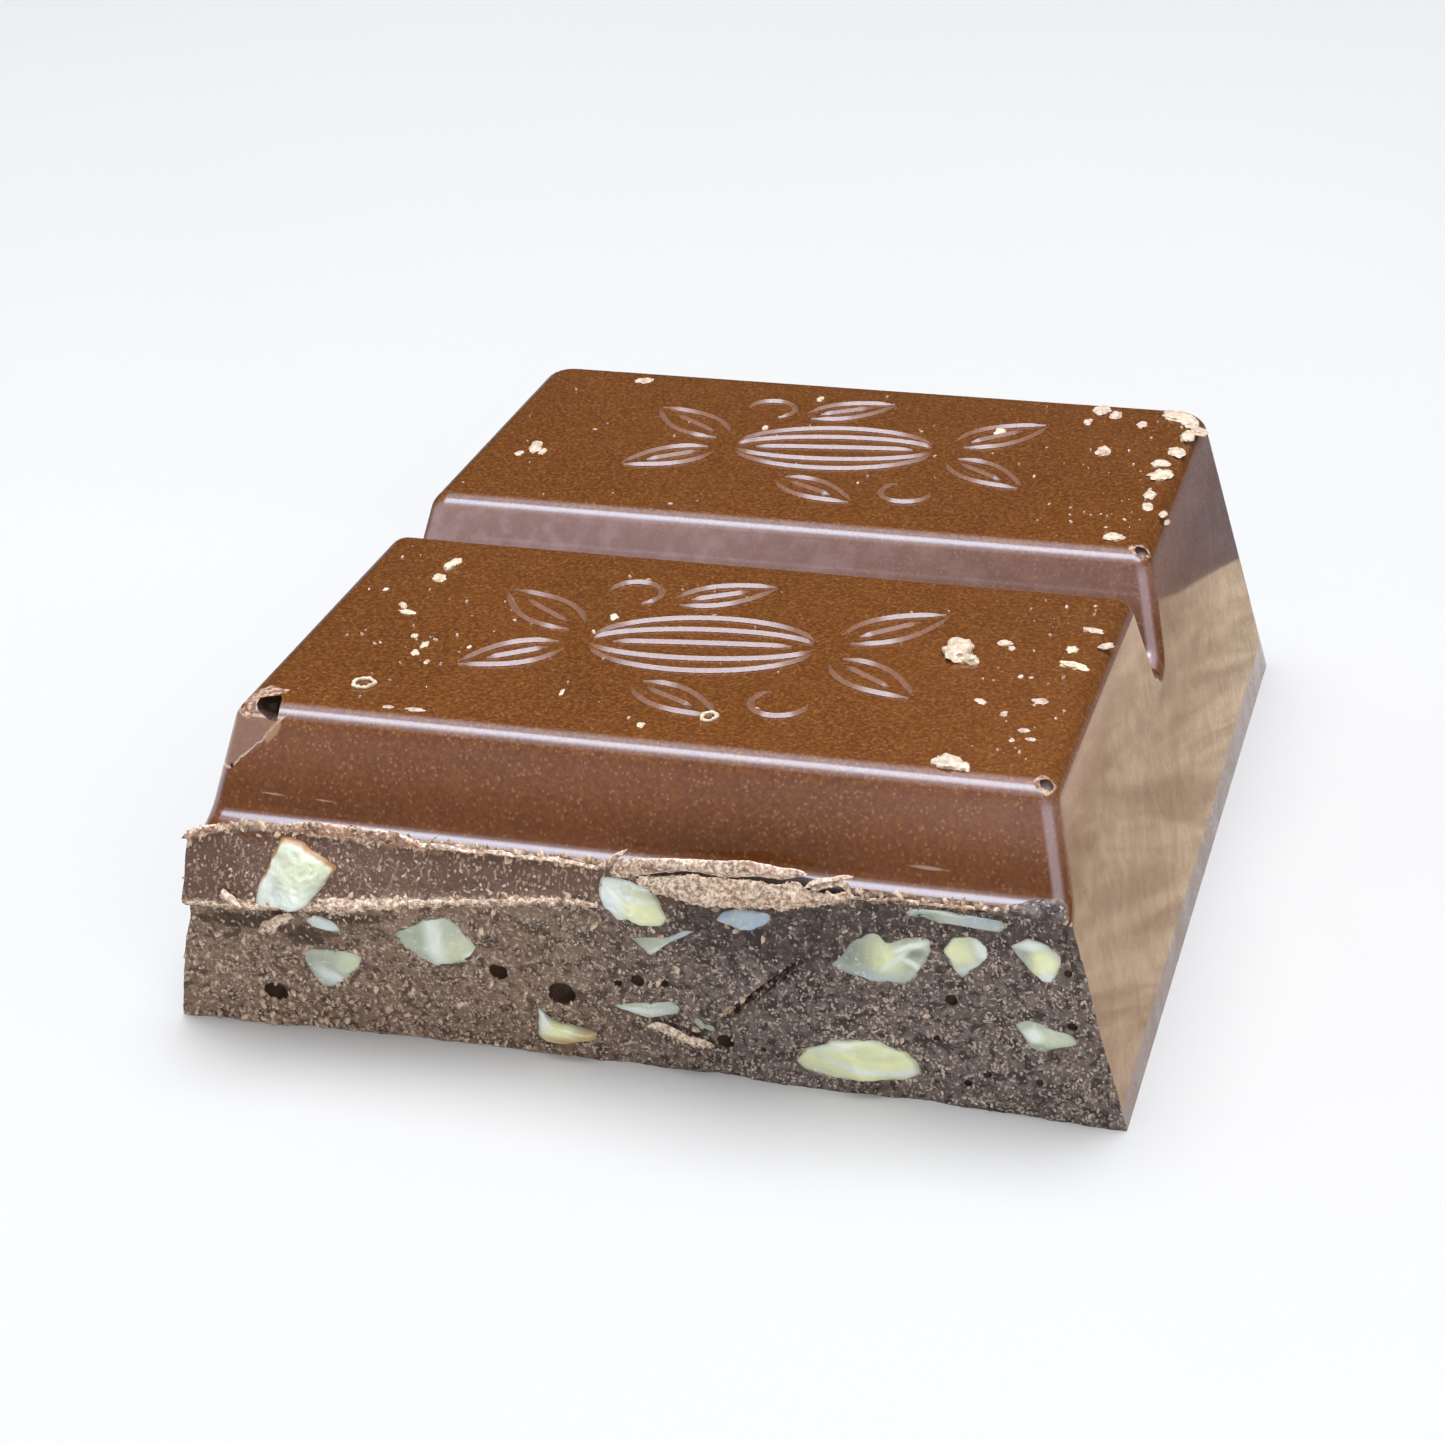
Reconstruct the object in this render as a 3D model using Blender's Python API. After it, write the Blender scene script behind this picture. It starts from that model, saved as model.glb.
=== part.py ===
"""End piece of a moulded chocolate bar with chopped nuts, snapped off at a groove.

Metres, +Z up.  X runs across the bar, Y runs away from the broken face, and Z = 0 is the flat back
of the bar, on which it rests.  The meshes are drawn with Y = 0 at the front lip of the first
segment, and one empty carries them all so that the origin is the middle of the footprint.
"""
import math

import bmesh
import bpy
from mathutils import Vector, noise

MM = 0.001

# The moulded bar
TOP_WIDTH = 32.3 * MM
SEGMENT_DEPTH = 17.65 * MM
HEIGHT = 13.9 * MM
GROOVE_WIDTH = 4.3 * MM
GROOVE_DEPTH = 4.53 * MM
KNEE_IN = 1.38 * MM
KNEE_DOWN = 4.05 * MM
DRAFT = math.tan(math.radians(12.9))
EDGE_RADIUS = 0.75 * MM
FAR_CORNER_RADIUS = 1.3 * MM
STUB = 7.0 * MM

# The broken face: Y at the base, along the ridge and along the rim, from the left end to the right
HALF_BASE = TOP_WIDTH / 2 + HEIGHT * DRAFT
FACE_FOOT = (-1.15 * MM, -0.8 * MM)
FOOT_BOW = 0.55 * MM
RIDGE_Y = (-3.15 * MM, -1.75 * MM)
RIDGE_END_X = 6.0 * MM
RIDGE_LINE = ((-19.4 * MM, 6.45 * MM), (-15.5 * MM, 6.50 * MM), (-10.4 * MM, 7.18 * MM),
              (-2.3 * MM, 8.03 * MM), (1.9 * MM, 7.75 * MM), (3.0 * MM, 8.90 * MM),
              (6.0 * MM, 9.30 * MM), (19.4 * MM, 9.30 * MM))
RECESS_DEPTH = 1.6 * MM
RECESS_X = (-10.5 * MM, -15.5 * MM)
RIM_Y = (-1.75 * MM, -1.85 * MM)
RIM_Z = 9.58 * MM
HORN_X = -17.5 * MM
HORN_WIDTH = 1.3 * MM
HORN_REACH = 1.5 * MM
FACE_CELL = 0.52 * MM
FACE_TOP = 12.5 * MM
ROUGH_WAVES = ((6.0 * MM, 0.22 * MM), (2.4 * MM, 0.13 * MM), (1.2 * MM, 0.09 * MM))
STEP_FOOT = (3.3 * MM, 2.9 * MM)
STEP_HEAD = (6.9 * MM, 6.4 * MM)
STEP_RISE = 0.45 * MM
STEP_FADE = 2.6 * MM

# Raised line design on each segment
LINE_WIDTH = 0.40 * MM
LINE_HEIGHT = 0.17 * MM
LINE_SUNK = 0.15 * MM

# Nuts and pockets
NUT_GAP = 0.3 * MM
POCKET_REACH = 2.0 * MM

# The footprint runs from the ridge to the foot of the far end
TOTAL_TOP_DEPTH = 2 * SEGMENT_DEPTH + GROOVE_WIDTH
FRONT_REACH = -3.19 * MM
BACK_REACH = TOTAL_TOP_DEPTH + HEIGHT * DRAFT
ORIGIN_Y = -(FRONT_REACH + BACK_REACH) / 2


# ---------------------------------------------------------------- small tools

def clear_scene():
    for obj in list(bpy.data.objects):
        bpy.data.objects.remove(obj, do_unlink=True)


def mix(a, b, t):
    return a + (b - a) * t


def clamp(value, low=0.0, high=1.0):
    return max(low, min(high, value))


def material(name, colour, roughness):
    mat = bpy.data.materials.new(name)
    mat.use_nodes = True
    shader = mat.node_tree.nodes["Principled BSDF"]
    shader.inputs["Base Color"].default_value = (*colour, 1.0)
    shader.inputs["Roughness"].default_value = roughness
    shader.inputs["Metallic"].default_value = 0.0
    return mat


def mesh_object(name, bm, mat=None):
    bmesh.ops.recalc_face_normals(bm, faces=bm.faces)
    mesh = bpy.data.meshes.new(name)
    bm.to_mesh(mesh)
    bm.free()
    if mat:
        mesh.materials.append(mat)
    obj = bpy.data.objects.new(name, mesh)
    bpy.context.scene.collection.objects.link(obj)
    return obj


def boolean(target, tools, operation):
    """Apply one Boolean of a collection of closed pieces to the target, then remove the pieces."""
    group = bpy.data.collections.new(operation.lower())
    bpy.context.scene.collection.children.link(group)
    for tool in tools:
        bpy.context.scene.collection.objects.unlink(tool)
        group.objects.link(tool)
        tool.hide_render = True
        tool.display_type = "WIRE"
    mod = target.modifiers.new(operation, "BOOLEAN")
    mod.operation = operation
    mod.operand_type = "COLLECTION"
    mod.collection = group
    mod.solver = "EXACT"
    mod.use_self = False
    graph = bpy.context.evaluated_depsgraph_get()
    graph.update()
    mesh = bpy.data.meshes.new_from_object(target.evaluated_get(graph))
    target.modifiers.remove(mod)
    target.data = mesh
    for tool in tools:
        bpy.data.objects.remove(tool, do_unlink=True)
    bpy.data.collections.remove(group)


# ---------------------------------------------------------------- the moulded block

def side_profile():
    """Y and Z of the bar's outline seen from the side, from the stub of the missing segment back."""
    half = GROOVE_WIDTH / 2

    def groove(middle):
        return [(middle - half, HEIGHT),
                (middle - half + KNEE_IN, HEIGHT - KNEE_DOWN),
                (middle, HEIGHT - GROOVE_DEPTH),
                (middle + half - KNEE_IN, HEIGHT - KNEE_DOWN),
                (middle + half, HEIGHT)]

    return ([(-STUB, 0.0), (-STUB, HEIGHT)]
            + groove(-half)
            + groove(SEGMENT_DEPTH + half)
            + [(TOTAL_TOP_DEPTH, HEIGHT), (BACK_REACH, 0.0)])


def moulded_block(mat):
    """The bar as it leaves the mould: drafted sides, grooves, rounded lips, rounder far corners.

    The floors of the grooves stay crisp, and so does the flat back."""
    bm = bmesh.new()
    rings = []
    for y, z in side_profile():
        x = TOP_WIDTH / 2 + (HEIGHT - z) * DRAFT
        rings.append([bm.verts.new((-x, y, z)), bm.verts.new((x, y, z))])
    count = len(rings)
    for i in range(count):
        a, b = rings[i], rings[(i + 1) % count]
        bm.faces.new((a[0], a[1], b[1], b[0]))
    for side in (0, 1):
        bm.faces.new([ring[side] for ring in rings])
    bmesh.ops.recalc_face_normals(bm, faces=bm.faces)
    far = [e for e in bm.edges
           if all(v.co.y > TOTAL_TOP_DEPTH - MM for v in e.verts)
           and abs(e.verts[0].co.z - e.verts[1].co.z) > MM]
    bmesh.ops.bevel(bm, geom=far, offset=FAR_CORNER_RADIUS, segments=4, profile=0.5,
                    affect="EDGES", clamp_overlap=True)
    lips = [e for e in bm.edges
            if e.calc_face_angle(0.0) > math.radians(24)
            and max(v.co.z for v in e.verts) > MM
            and min(v.co.y for v in e.verts) > -STUB + MM
            and (abs(e.verts[0].co.x - e.verts[1].co.x) < TOP_WIDTH / 2
                 or e.verts[0].co.z > HEIGHT - MM)]
    bmesh.ops.bevel(bm, geom=lips, offset=EDGE_RADIUS, segments=3, profile=0.5,
                    affect="EDGES", clamp_overlap=True)
    return mesh_object("chocolate_bar", bm, mat)


# ---------------------------------------------------------------- the broken face

def roughness(x, z):
    """Depth of the crags of the broken face, from waves of falling size."""
    depth = 0.0
    for i, (length, height) in enumerate(ROUGH_WAVES):
        depth += height * noise.noise(Vector((x / length, z / length, 3.7 * i + 0.5)))
    return depth


def step_relief(x, z):
    """The crack that climbs to the right: the piece above it stands proud and fades away from it."""
    dx, dz = STEP_HEAD[0] - STEP_FOOT[0], STEP_HEAD[1] - STEP_FOOT[1]
    length = math.hypot(dx, dz)
    along = ((x - STEP_FOOT[0]) * dx + (z - STEP_FOOT[1]) * dz) / length
    away = ((z - STEP_FOOT[1]) * dx - (x - STEP_FOOT[0]) * dz) / length
    if away < 0:
        return 0.0
    ends = clamp(1.2 - abs(along / length - 0.5) * 1.3)
    return STEP_RISE * ends * math.exp(-away / STEP_FADE)


def ridge_height(x):
    """Z of the ridge at a place across the bar."""
    for (x_low, z_low), (x_high, z_high) in zip(RIDGE_LINE, RIDGE_LINE[1:]):
        if x < x_high:
            return mix(z_low, z_high, clamp((x - x_low) / (x_high - x_low)))
    return RIDGE_LINE[-1][1]


def recess(x, share):
    """How far the face falls back under the left half of the ridge, at a share of its height."""
    left = clamp((RECESS_X[0] - x) / (RECESS_X[0] - RECESS_X[1]))
    return RECESS_DEPTH * left * share ** 3 * (1 - share ** 8)


def face_y(x, z):
    """Y of the broken face at a place across and up the bar."""
    across = clamp((x + HALF_BASE) / (2 * HALF_BASE))
    run = clamp((x + HALF_BASE) / (RIDGE_END_X + HALF_BASE))
    ridge_z = ridge_height(x)
    ridge_y = mix(RIDGE_Y[0], RIDGE_Y[1], run ** 0.85)
    horn = HORN_REACH * math.exp(-(min(HORN_X - x, 0.0) / HORN_WIDTH) ** 2)
    rim_y = mix(RIM_Y[0], RIM_Y[1], across) - horn
    foot_y = mix(FACE_FOOT[0], FACE_FOOT[1], across) + FOOT_BOW * math.sin(math.pi * across)
    rough = roughness(x, z)
    if z > ridge_z:
        up = clamp((z - ridge_z) / max(RIM_Z - ridge_z, 0.05 * MM))
        return mix(ridge_y, rim_y, up) + rough * mix(0.6, 0.35, up)
    share = clamp(z / ridge_z)
    return mix(foot_y, ridge_y, share) + recess(x, share) + rough - step_relief(x, z)


def break_cutter():
    """All that lies in front of the broken face, as one closed block with the face as its back."""
    x_count = round(2 * (HALF_BASE + MM) / FACE_CELL)
    z_count = round((FACE_TOP + MM) / FACE_CELL)
    xs = [mix(-HALF_BASE - MM, HALF_BASE + MM, i / x_count) for i in range(x_count + 1)]
    zs = [mix(-MM, FACE_TOP, k / z_count) for k in range(z_count + 1)]
    zs.append(HEIGHT + MM)
    bm = bmesh.new()
    back = [[bm.verts.new((x, face_y(x, z), z)) for z in zs] for x in xs]
    front = [[bm.verts.new((x, -STUB - MM, z)) for z in (zs[0], zs[-1])] for x in (xs[0], xs[-1])]
    for i in range(len(xs) - 1):
        for k in range(len(zs) - 1):
            bm.faces.new((back[i][k], back[i][k + 1], back[i + 1][k + 1], back[i + 1][k]))
    bm.faces.new((front[0][0], front[0][1], front[1][1], front[1][0]))
    bm.faces.new([front[0][1], front[0][0]] + back[0])
    bm.faces.new([front[1][0], front[1][1]] + back[-1][::-1])
    bm.faces.new([front[0][0], front[1][0]] + [column[0] for column in back[::-1]])
    bm.faces.new([front[1][1], front[0][1]] + [column[-1] for column in back])
    bmesh.ops.triangulate(bm, faces=bm.faces)
    return mesh_object("break_cutter", bm)


# ---------------------------------------------------------------- bubbles

# Across, up and half size of each bubble that the break has opened
FACE_BUBBLES = (
    (-14.95, 1.86, 0.48), (-5.32, 4.10, 0.45), (-2.90, 3.29, 0.60), (0.29, 4.37, 0.30),
    (1.36, 4.38, 0.21), (-0.49, 4.15, 0.19), (12.61, 5.05, 0.27), (3.60, 1.75, 0.38),
    (17.26, 4.70, 0.22), (13.95, 1.75, 0.18), (13.20, 1.20, 0.18), (15.98, 1.70, 0.15),
    (5.13, 1.61, 0.13), (17.06, 7.00, 0.16), (12.00, 3.11, 0.16))
# Across, back and half size of the bubbles that opened at the moulded lips
LIP_BUBBLES = ((-14.85, 0.45, 0.65), (15.80, 0.45, 0.27), (15.75, 22.50, 0.30))


def ball(name, centre, radius):
    bm = bmesh.new()
    bmesh.ops.create_icosphere(bm, subdivisions=1 if radius < 0.25 * MM else 2, radius=radius)
    bmesh.ops.translate(bm, verts=bm.verts, vec=centre)
    return mesh_object(name, bm)


def bubble_cutters():
    cutters = []
    for x, z, radius in FACE_BUBBLES:
        x, z, radius = x * MM, z * MM, radius * MM
        cutters.append(ball("face_bubble", (x, face_y(x, z) + radius * 0.35, z), radius))
    for x, y, radius in LIP_BUBBLES:
        x, y, radius = x * MM, y * MM, radius * MM
        cutters.append(ball("lip_bubble", (x, y, HEIGHT - radius * 0.55), radius))
    return cutters


# ---------------------------------------------------------------- nuts

# Each nut: name, centre across and up, how far it stands out of the face, how deep it goes in,
# and the corners of its cut outline, in millimetres round that centre
NUTS = (
    ("nut_ledge_left", -13.10, 7.70, 0.55, 2.2,
     ((-0.7, 1.6), (0.0, 1.6), (1.7, 0.7), (0.6, -0.8), (-0.5, -1.6), (-1.1, -1.5), (-1.7, -1.1),
      (-1.6, -0.4))),
    ("nut_under_ridge", -12.26, 5.81, 0.05, 1.4,
     ((-0.8, -0.1), (-0.3, 0.4), (0.3, 0.3), (0.6, 0.1), (0.8, -0.4), (-0.3, -0.3))),
    ("nut_fan", -12.11, 3.39, 0.10, 1.8,
     ((-1.3, 0.8), (-0.4, 1.0), (0.5, 1.1), (1.3, 0.9), (1.1, 0.4), (0.2, -0.6), (-0.5, -1.1),
      (-0.9, -0.9), (-1.3, 0.2))),
    ("nut_diamond", -7.70, 5.40, 0.15, 2.2,
     ((-1.7, 0.3), (-0.2, 1.1), (0.7, 1.3), (1.8, -0.5), (1.5, -0.9), (-0.2, -1.3), (-0.8, -0.9))),
    ("nut_ledge_middle", 0.45, 8.15, 0.35, 1.9,
     ((-1.3, 0.9), (-0.9, 1.0), (-0.2, 0.9), (0.8, 0.6), (1.4, -0.6), (1.0, -1.0), (0.3, -1.0),
      (-0.1, -0.7), (-0.7, -0.8), (-1.3, 0.0))),
    ("nut_bird", 1.52, 6.43, 0.05, 1.3,
     ((-1.4, 0.1), (0.3, 0.3), (0.9, 0.7), (1.4, 0.7), (0.2, 0.0), (-0.5, -0.7))),
    ("nut_blue", 4.74, 7.83, 0.05, 1.4,
     ((-1.1, -0.1), (-0.7, 0.3), (-0.1, 0.5), (1.0, 0.4), (1.1, 0.2), (0.8, -0.2), (0.3, -0.5),
      (-0.3, -0.5))),
    ("nut_lens_small", 0.58, 2.97, 0.05, 1.3,
     ((-1.4, 0.0), (0.9, 0.5), (1.4, 0.3), (1.3, 0.0), (0.1, -0.5), (-1.0, -0.2))),
    ("nut_two_lobes", 9.95, 6.68, 0.15, 2.3,
     ((-2.0, -0.7), (-1.1, 0.6), (-0.2, 1.2), (0.3, 0.7), (0.8, 1.0), (1.9, 1.2), (2.0, 0.7),
      (1.8, 0.0), (1.0, -1.2), (-0.5, -1.2))),
    ("nut_heart", 13.20, 7.05, 0.10, 1.6,
     ((-0.9, 0.2), (-0.6, 0.7), (-0.2, 1.0), (0.2, 1.0), (0.6, 0.9), (0.9, 0.5), (0.9, 0.2),
      (-0.2, -1.0))),
    ("nut_right_high", 15.86, 7.43, 0.10, 1.4,
     ((-1.0, 0.5), (-0.3, 1.0), (0.6, 0.7), (0.9, 0.4), (1.0, 0.0), (0.6, -0.9), (0.3, -1.0))),
    ("nut_right_low", 16.28, 3.95, 0.10, 1.3,
     ((-1.3, 0.3), (-1.0, 0.6), (-0.6, 0.7), (0.3, 0.4), (0.8, 0.4), (1.3, 0.0), (-0.2, -0.7),
      (-0.6, -0.6))),
    ("nut_half_kernel", 8.80, 1.70, 0.35, 2.6,
     ((-2.5, -0.5), (-2.1, 0.1), (-0.8, 0.9), (0.7, 1.0), (2.0, 0.5), (2.4, 0.0), (2.5, -0.5),
      (2.0, -0.8), (-0.2, -1.1), (-2.0, -0.9))),
    ("nut_block", -2.85, 1.50, 0.35, 2.0,
     ((-1.1, 0.9), (-0.6, 0.3), (1.3, -0.1), (1.1, -0.5), (-0.4, -0.9), (-1.0, -0.8), (-1.3, -0.6))),
    ("nut_sliver", 12.79, 8.85, 0.02, 1.2,
     ((-2.0, 0.0), (-1.6, 0.3), (1.9, 0.2), (2.0, -0.2), (1.6, -0.4), (-0.8, -0.3), (-1.3, -0.1),
      (-1.7, -0.2))),
    ("nut_chip", 2.81, 2.49, 0.05, 1.0,
     ((-0.5, 0.2), (-0.2, 0.4), (0.4, -0.1), (0.5, -0.4), (0.1, -0.3))),
)
NUT_DOME = 0.22
NUT_SHOULDER = 0.16
NUT_TAIL = 0.45


def swell(corners, amount):
    """The same outline with every edge moved outwards by the amount."""
    count = len(corners)
    turns = sum(corners[i - 1][0] * corners[i][1] - corners[i][0] * corners[i - 1][1]
                for i in range(count))
    facing = 1.0 if turns > 0 else -1.0

    def outward(a, b):
        return Vector((b[1] - a[1], a[0] - b[0])).normalized() * facing

    grown = []
    for i, corner in enumerate(corners):
        before = outward(corners[i - 1], corner)
        after = outward(corner, corners[(i + 1) % count])
        shift = (before + after) * amount / max(1 + before.dot(after), 0.45)
        grown.append((corner[0] + shift.x, corner[1] + shift.y))
    return grown


def nut_solid(name, centre, stand, depth, corners, gap=0.0, reach=0.0):
    """A chopped kernel: a low crown in front, a full waist at the face and a tapered tail inside."""
    cx, cz = centre
    y_face = sum(face_y(cx + x, cz + z) for x, z in corners) / len(corners)
    grown = swell(corners, gap) if gap else corners
    crown_y = y_face - stand - reach - gap
    front = crown_y if gap else crown_y + 0.12 * MM
    rings = ((front, 1.0 if gap else 1.0 - NUT_SHOULDER),
             (y_face + 0.15 * MM, 1.0),
             (y_face + depth * 0.6, 0.88),
             (y_face + depth + gap, NUT_TAIL + (0.25 if gap else 0.0)))
    bm = bmesh.new()
    loops = [[bm.verts.new((cx + x * scale, y, cz + z * scale)) for x, z in grown]
             for y, scale in rings]
    count = len(corners)
    for near, far in zip(loops, loops[1:]):
        for i in range(count):
            j = (i + 1) % count
            bm.faces.new((near[i], near[j], far[j], far[i]))
    if gap:
        bm.faces.new(loops[0])
    else:
        crown = bm.verts.new((cx + NUT_DOME * corners[0][0], crown_y, cz + NUT_DOME * corners[0][1]))
        for i in range(count):
            bm.faces.new((loops[0][i], loops[0][(i + 1) % count], crown))
    bm.faces.new(loops[-1])
    bmesh.ops.triangulate(bm, faces=bm.faces)
    return bm


def nut_parts(mat):
    nuts, pockets = [], []
    for name, x, z, stand, depth, corners in NUTS:
        centre = (x * MM, z * MM)
        outline = [(a * MM, b * MM) for a, b in corners]
        body = nut_solid(name, centre, stand * MM, depth * MM, outline)
        nuts.append(mesh_object(name, body, mat))
        hollow = nut_solid(name, centre, stand * MM, depth * MM, outline, NUT_GAP, POCKET_REACH)
        pockets.append(mesh_object(name + "_pocket", hollow))
    return nuts, pockets


# ---------------------------------------------------------------- raised line design

def arc(centre, radii, start, end, turn=0.0, count=10):
    """Points along a part of an ellipse, with angles in degrees."""
    points = []
    c, s = math.cos(math.radians(turn)), math.sin(math.radians(turn))
    for i in range(count + 1):
        angle = math.radians(mix(start, end, i / count))
        x, y = radii[0] * math.cos(angle), radii[1] * math.sin(angle)
        points.append((centre[0] + x * c - y * s, centre[1] + x * s + y * c))
    return points


def leaf(base, tip, width):
    """Two bowed edges that stop short of the tip and a straight midrib between them."""
    bx, by = base
    dx, dy = tip[0] - bx, tip[1] - by
    lines = []
    for side, reach in ((-1, 0.96), (1, 0.96), (0, 0.72)):
        points = []
        for i in range(9):
            t = mix(0.08 if side else 0.2, reach, i / 8)
            bow = side * width * math.sin(math.pi * t ** 0.85)
            points.append((bx + dx * t - dy * bow, by + dy * t + dx * bow))
        lines.append(points)
    return lines


def pod(centre, length, width, turn):
    """A ribbed pod lying across the segment: its outline in two halves and ribs from end to end."""
    lines = []
    for share in (-1.0, -0.55, 0.55, 1.0):
        lines.append(arc(centre, (length, width * share), 12, 168, turn, 14))
    lines.append(arc(centre, (length * 0.8, width * 0.04), 10, 170, turn, 6))
    return lines


def design_lines():
    """Centre lines of a pod between two pairs of leaves, in millimetres round the segment's middle."""
    lines = pod((0.2, 0.3), 4.6, 2.5, 8)
    lines += leaf((-4.9, 0.6), (-9.3, 3.9), 0.20)
    lines += leaf((-5.0, -0.7), (-9.0, -3.6), 0.20)
    lines += leaf((5.4, 1.6), (9.4, 5.2), 0.20)
    lines += leaf((5.5, 0.1), (9.6, -2.8), 0.20)
    lines += leaf((-2.3, 3.9), (1.9, 6.4), 0.19)
    lines += leaf((-1.6, -3.6), (2.6, -5.9), 0.19)
    lines.append(arc((-3.9, 4.6), (1.1, 1.1), -60, 190, 0, 12))
    lines.append(arc((4.6, -4.3), (1.1, 1.1), 120, 370, 0, 12))
    return lines


def raised_line(name, points, origin):
    """A low ridge along a centre line, sunk a little into the top so that it fuses with it."""
    half, top = LINE_WIDTH / 2, LINE_WIDTH / 5
    section = ((-half, -LINE_SUNK), (-top, LINE_HEIGHT), (top, LINE_HEIGHT), (half, -LINE_SUNK))
    places = [Vector((origin[0] + x * MM, origin[1] + y * MM, HEIGHT)) for x, y in points]
    bm = bmesh.new()
    rings = []
    for i, place in enumerate(places):
        ahead = places[min(i + 1, len(places) - 1)] - places[max(i - 1, 0)]
        side = Vector((-ahead.y, ahead.x, 0)).normalized()
        end = 0.45 if i in (0, len(places) - 1) else 1.0
        rings.append([bm.verts.new(place + side * across * end + Vector((0, 0, up)))
                      for across, up in section])
    for near, far in zip(rings, rings[1:]):
        for i in range(4):
            j = (i + 1) % 4
            bm.faces.new((near[i], near[j], far[j], far[i]))
    bm.faces.new(rings[0])
    bm.faces.new(rings[-1])
    bmesh.ops.triangulate(bm, faces=bm.faces)
    return mesh_object(name, bm)


def designs():
    ridges = []
    for middle in (SEGMENT_DEPTH / 2, SEGMENT_DEPTH * 1.5 + GROOVE_WIDTH):
        for points in design_lines():
            ridges.append(raised_line("raised_line", points, (0.0, middle)))
    return ridges


# ---------------------------------------------------------------- flakes and curls

SUNK_END = 0.12 * MM


def ribbon(name, path, height, thick, seed):
    """A thin torn strip: each place of the path has its own height, and both ends run to a point."""
    bm = bmesh.new()
    rings = []
    last = len(path) - 1
    for i, place in enumerate(path):
        taper = 0.25 + 0.75 * math.sin(math.pi * clamp(i / last, 0.04, 0.96)) ** 0.5
        tall = height * taper * (1 + 0.35 * noise.noise(Vector((i * 0.7, seed, 0.3))))
        wide = thick * (0.6 + 0.4 * taper)
        rings.append([bm.verts.new(Vector(place) + Vector(corner))
                      for corner in ((0, -wide / 2, -tall / 2), (0, wide / 2, -tall / 2),
                                     (0, wide / 2, tall / 2), (0, -wide / 2, tall / 2))])
    for near, far in zip(rings, rings[1:]):
        for i in range(4):
            j = (i + 1) % 4
            bm.faces.new((near[i], near[j], far[j], far[i]))
    bm.faces.new(rings[0])
    bm.faces.new(rings[-1])
    bmesh.ops.triangulate(bm, faces=bm.faces)
    return mesh_object(name, bm)


def bowed_path(start, end, bow, rise=0.0, count=14):
    """Places from start to end, bowed forwards and upwards in between; the ends touch the bar."""
    path = []
    for i in range(count + 1):
        t = i / count
        x = mix(start[0], end[0], t) * MM
        z = mix(start[1], end[1], t) * MM
        arch = math.sin(math.pi * t) * MM
        path.append((x, face_y(x, z) + SUNK_END - bow * arch, z + rise * arch))
    return path


def flakes():
    """The curl peeled off the rim, the torn ledge below it and the loose shavings on the face."""
    return [
        ribbon("rim_curl", bowed_path((0.1, 9.6), (7.6, 9.6), 0.70, 0.85), 0.60 * MM, 0.30 * MM, 1.0),
        ribbon("rim_ledge", bowed_path((1.2, 9.25), (9.1, 9.35), 0.40), 0.85 * MM, 0.50 * MM, 2.0),
        ribbon("rim_tip", bowed_path((6.9, 9.45), (9.3, 9.5), 0.35, 0.5, 8), 0.45 * MM, 0.25 * MM, 5.0),
        ribbon("face_shaving", bowed_path((0.6, 2.05), (3.1, 1.45), 0.35, 0.0, 6),
               0.45 * MM, 0.25 * MM, 3.0),
        ribbon("left_shaving", bowed_path((-15.1, 4.6), (-13.9, 5.3), 0.30, 0.0, 5),
               0.45 * MM, 0.25 * MM, 4.0),
    ]


# ---------------------------------------------------------------- the part

def build():
    clear_scene()
    chocolate = material("dark_chocolate", (0.115, 0.052, 0.026), 0.38)
    kernel = material("nut_kernel", (0.62, 0.60, 0.40), 0.45)

    bar = moulded_block(chocolate)
    boolean(bar, [break_cutter()], "DIFFERENCE")
    nuts, pockets = nut_parts(kernel)
    boolean(bar, pockets + bubble_cutters(), "DIFFERENCE")
    boolean(bar, designs() + flakes(), "UNION")
    bar.data.shade_smooth()
    bar.data.set_sharp_from_angle(angle=math.radians(35))

    holder = bpy.data.objects.new("bar_origin", None)
    bpy.context.scene.collection.objects.link(holder)
    holder.location = (0.0, ORIGIN_Y, 0.0)
    for piece in [bar] + nuts:
        piece.parent = holder


build()
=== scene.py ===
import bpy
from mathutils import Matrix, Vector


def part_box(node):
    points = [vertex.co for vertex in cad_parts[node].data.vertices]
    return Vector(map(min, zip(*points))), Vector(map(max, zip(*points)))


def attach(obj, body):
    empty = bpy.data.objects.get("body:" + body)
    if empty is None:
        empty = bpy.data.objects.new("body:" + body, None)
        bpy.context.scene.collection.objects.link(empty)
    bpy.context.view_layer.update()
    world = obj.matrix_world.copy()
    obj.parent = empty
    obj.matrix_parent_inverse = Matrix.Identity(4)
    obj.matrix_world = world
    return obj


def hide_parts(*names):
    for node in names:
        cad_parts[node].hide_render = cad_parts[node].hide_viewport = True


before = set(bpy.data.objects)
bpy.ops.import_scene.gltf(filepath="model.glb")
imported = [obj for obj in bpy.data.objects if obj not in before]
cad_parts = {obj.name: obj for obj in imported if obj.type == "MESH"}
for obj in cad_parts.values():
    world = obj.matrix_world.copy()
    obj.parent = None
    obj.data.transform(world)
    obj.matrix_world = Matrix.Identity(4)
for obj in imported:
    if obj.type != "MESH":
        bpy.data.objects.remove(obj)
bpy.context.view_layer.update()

import math

import bmesh
import bpy
import numpy as np
from mathutils import Matrix, Vector, noise

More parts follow.
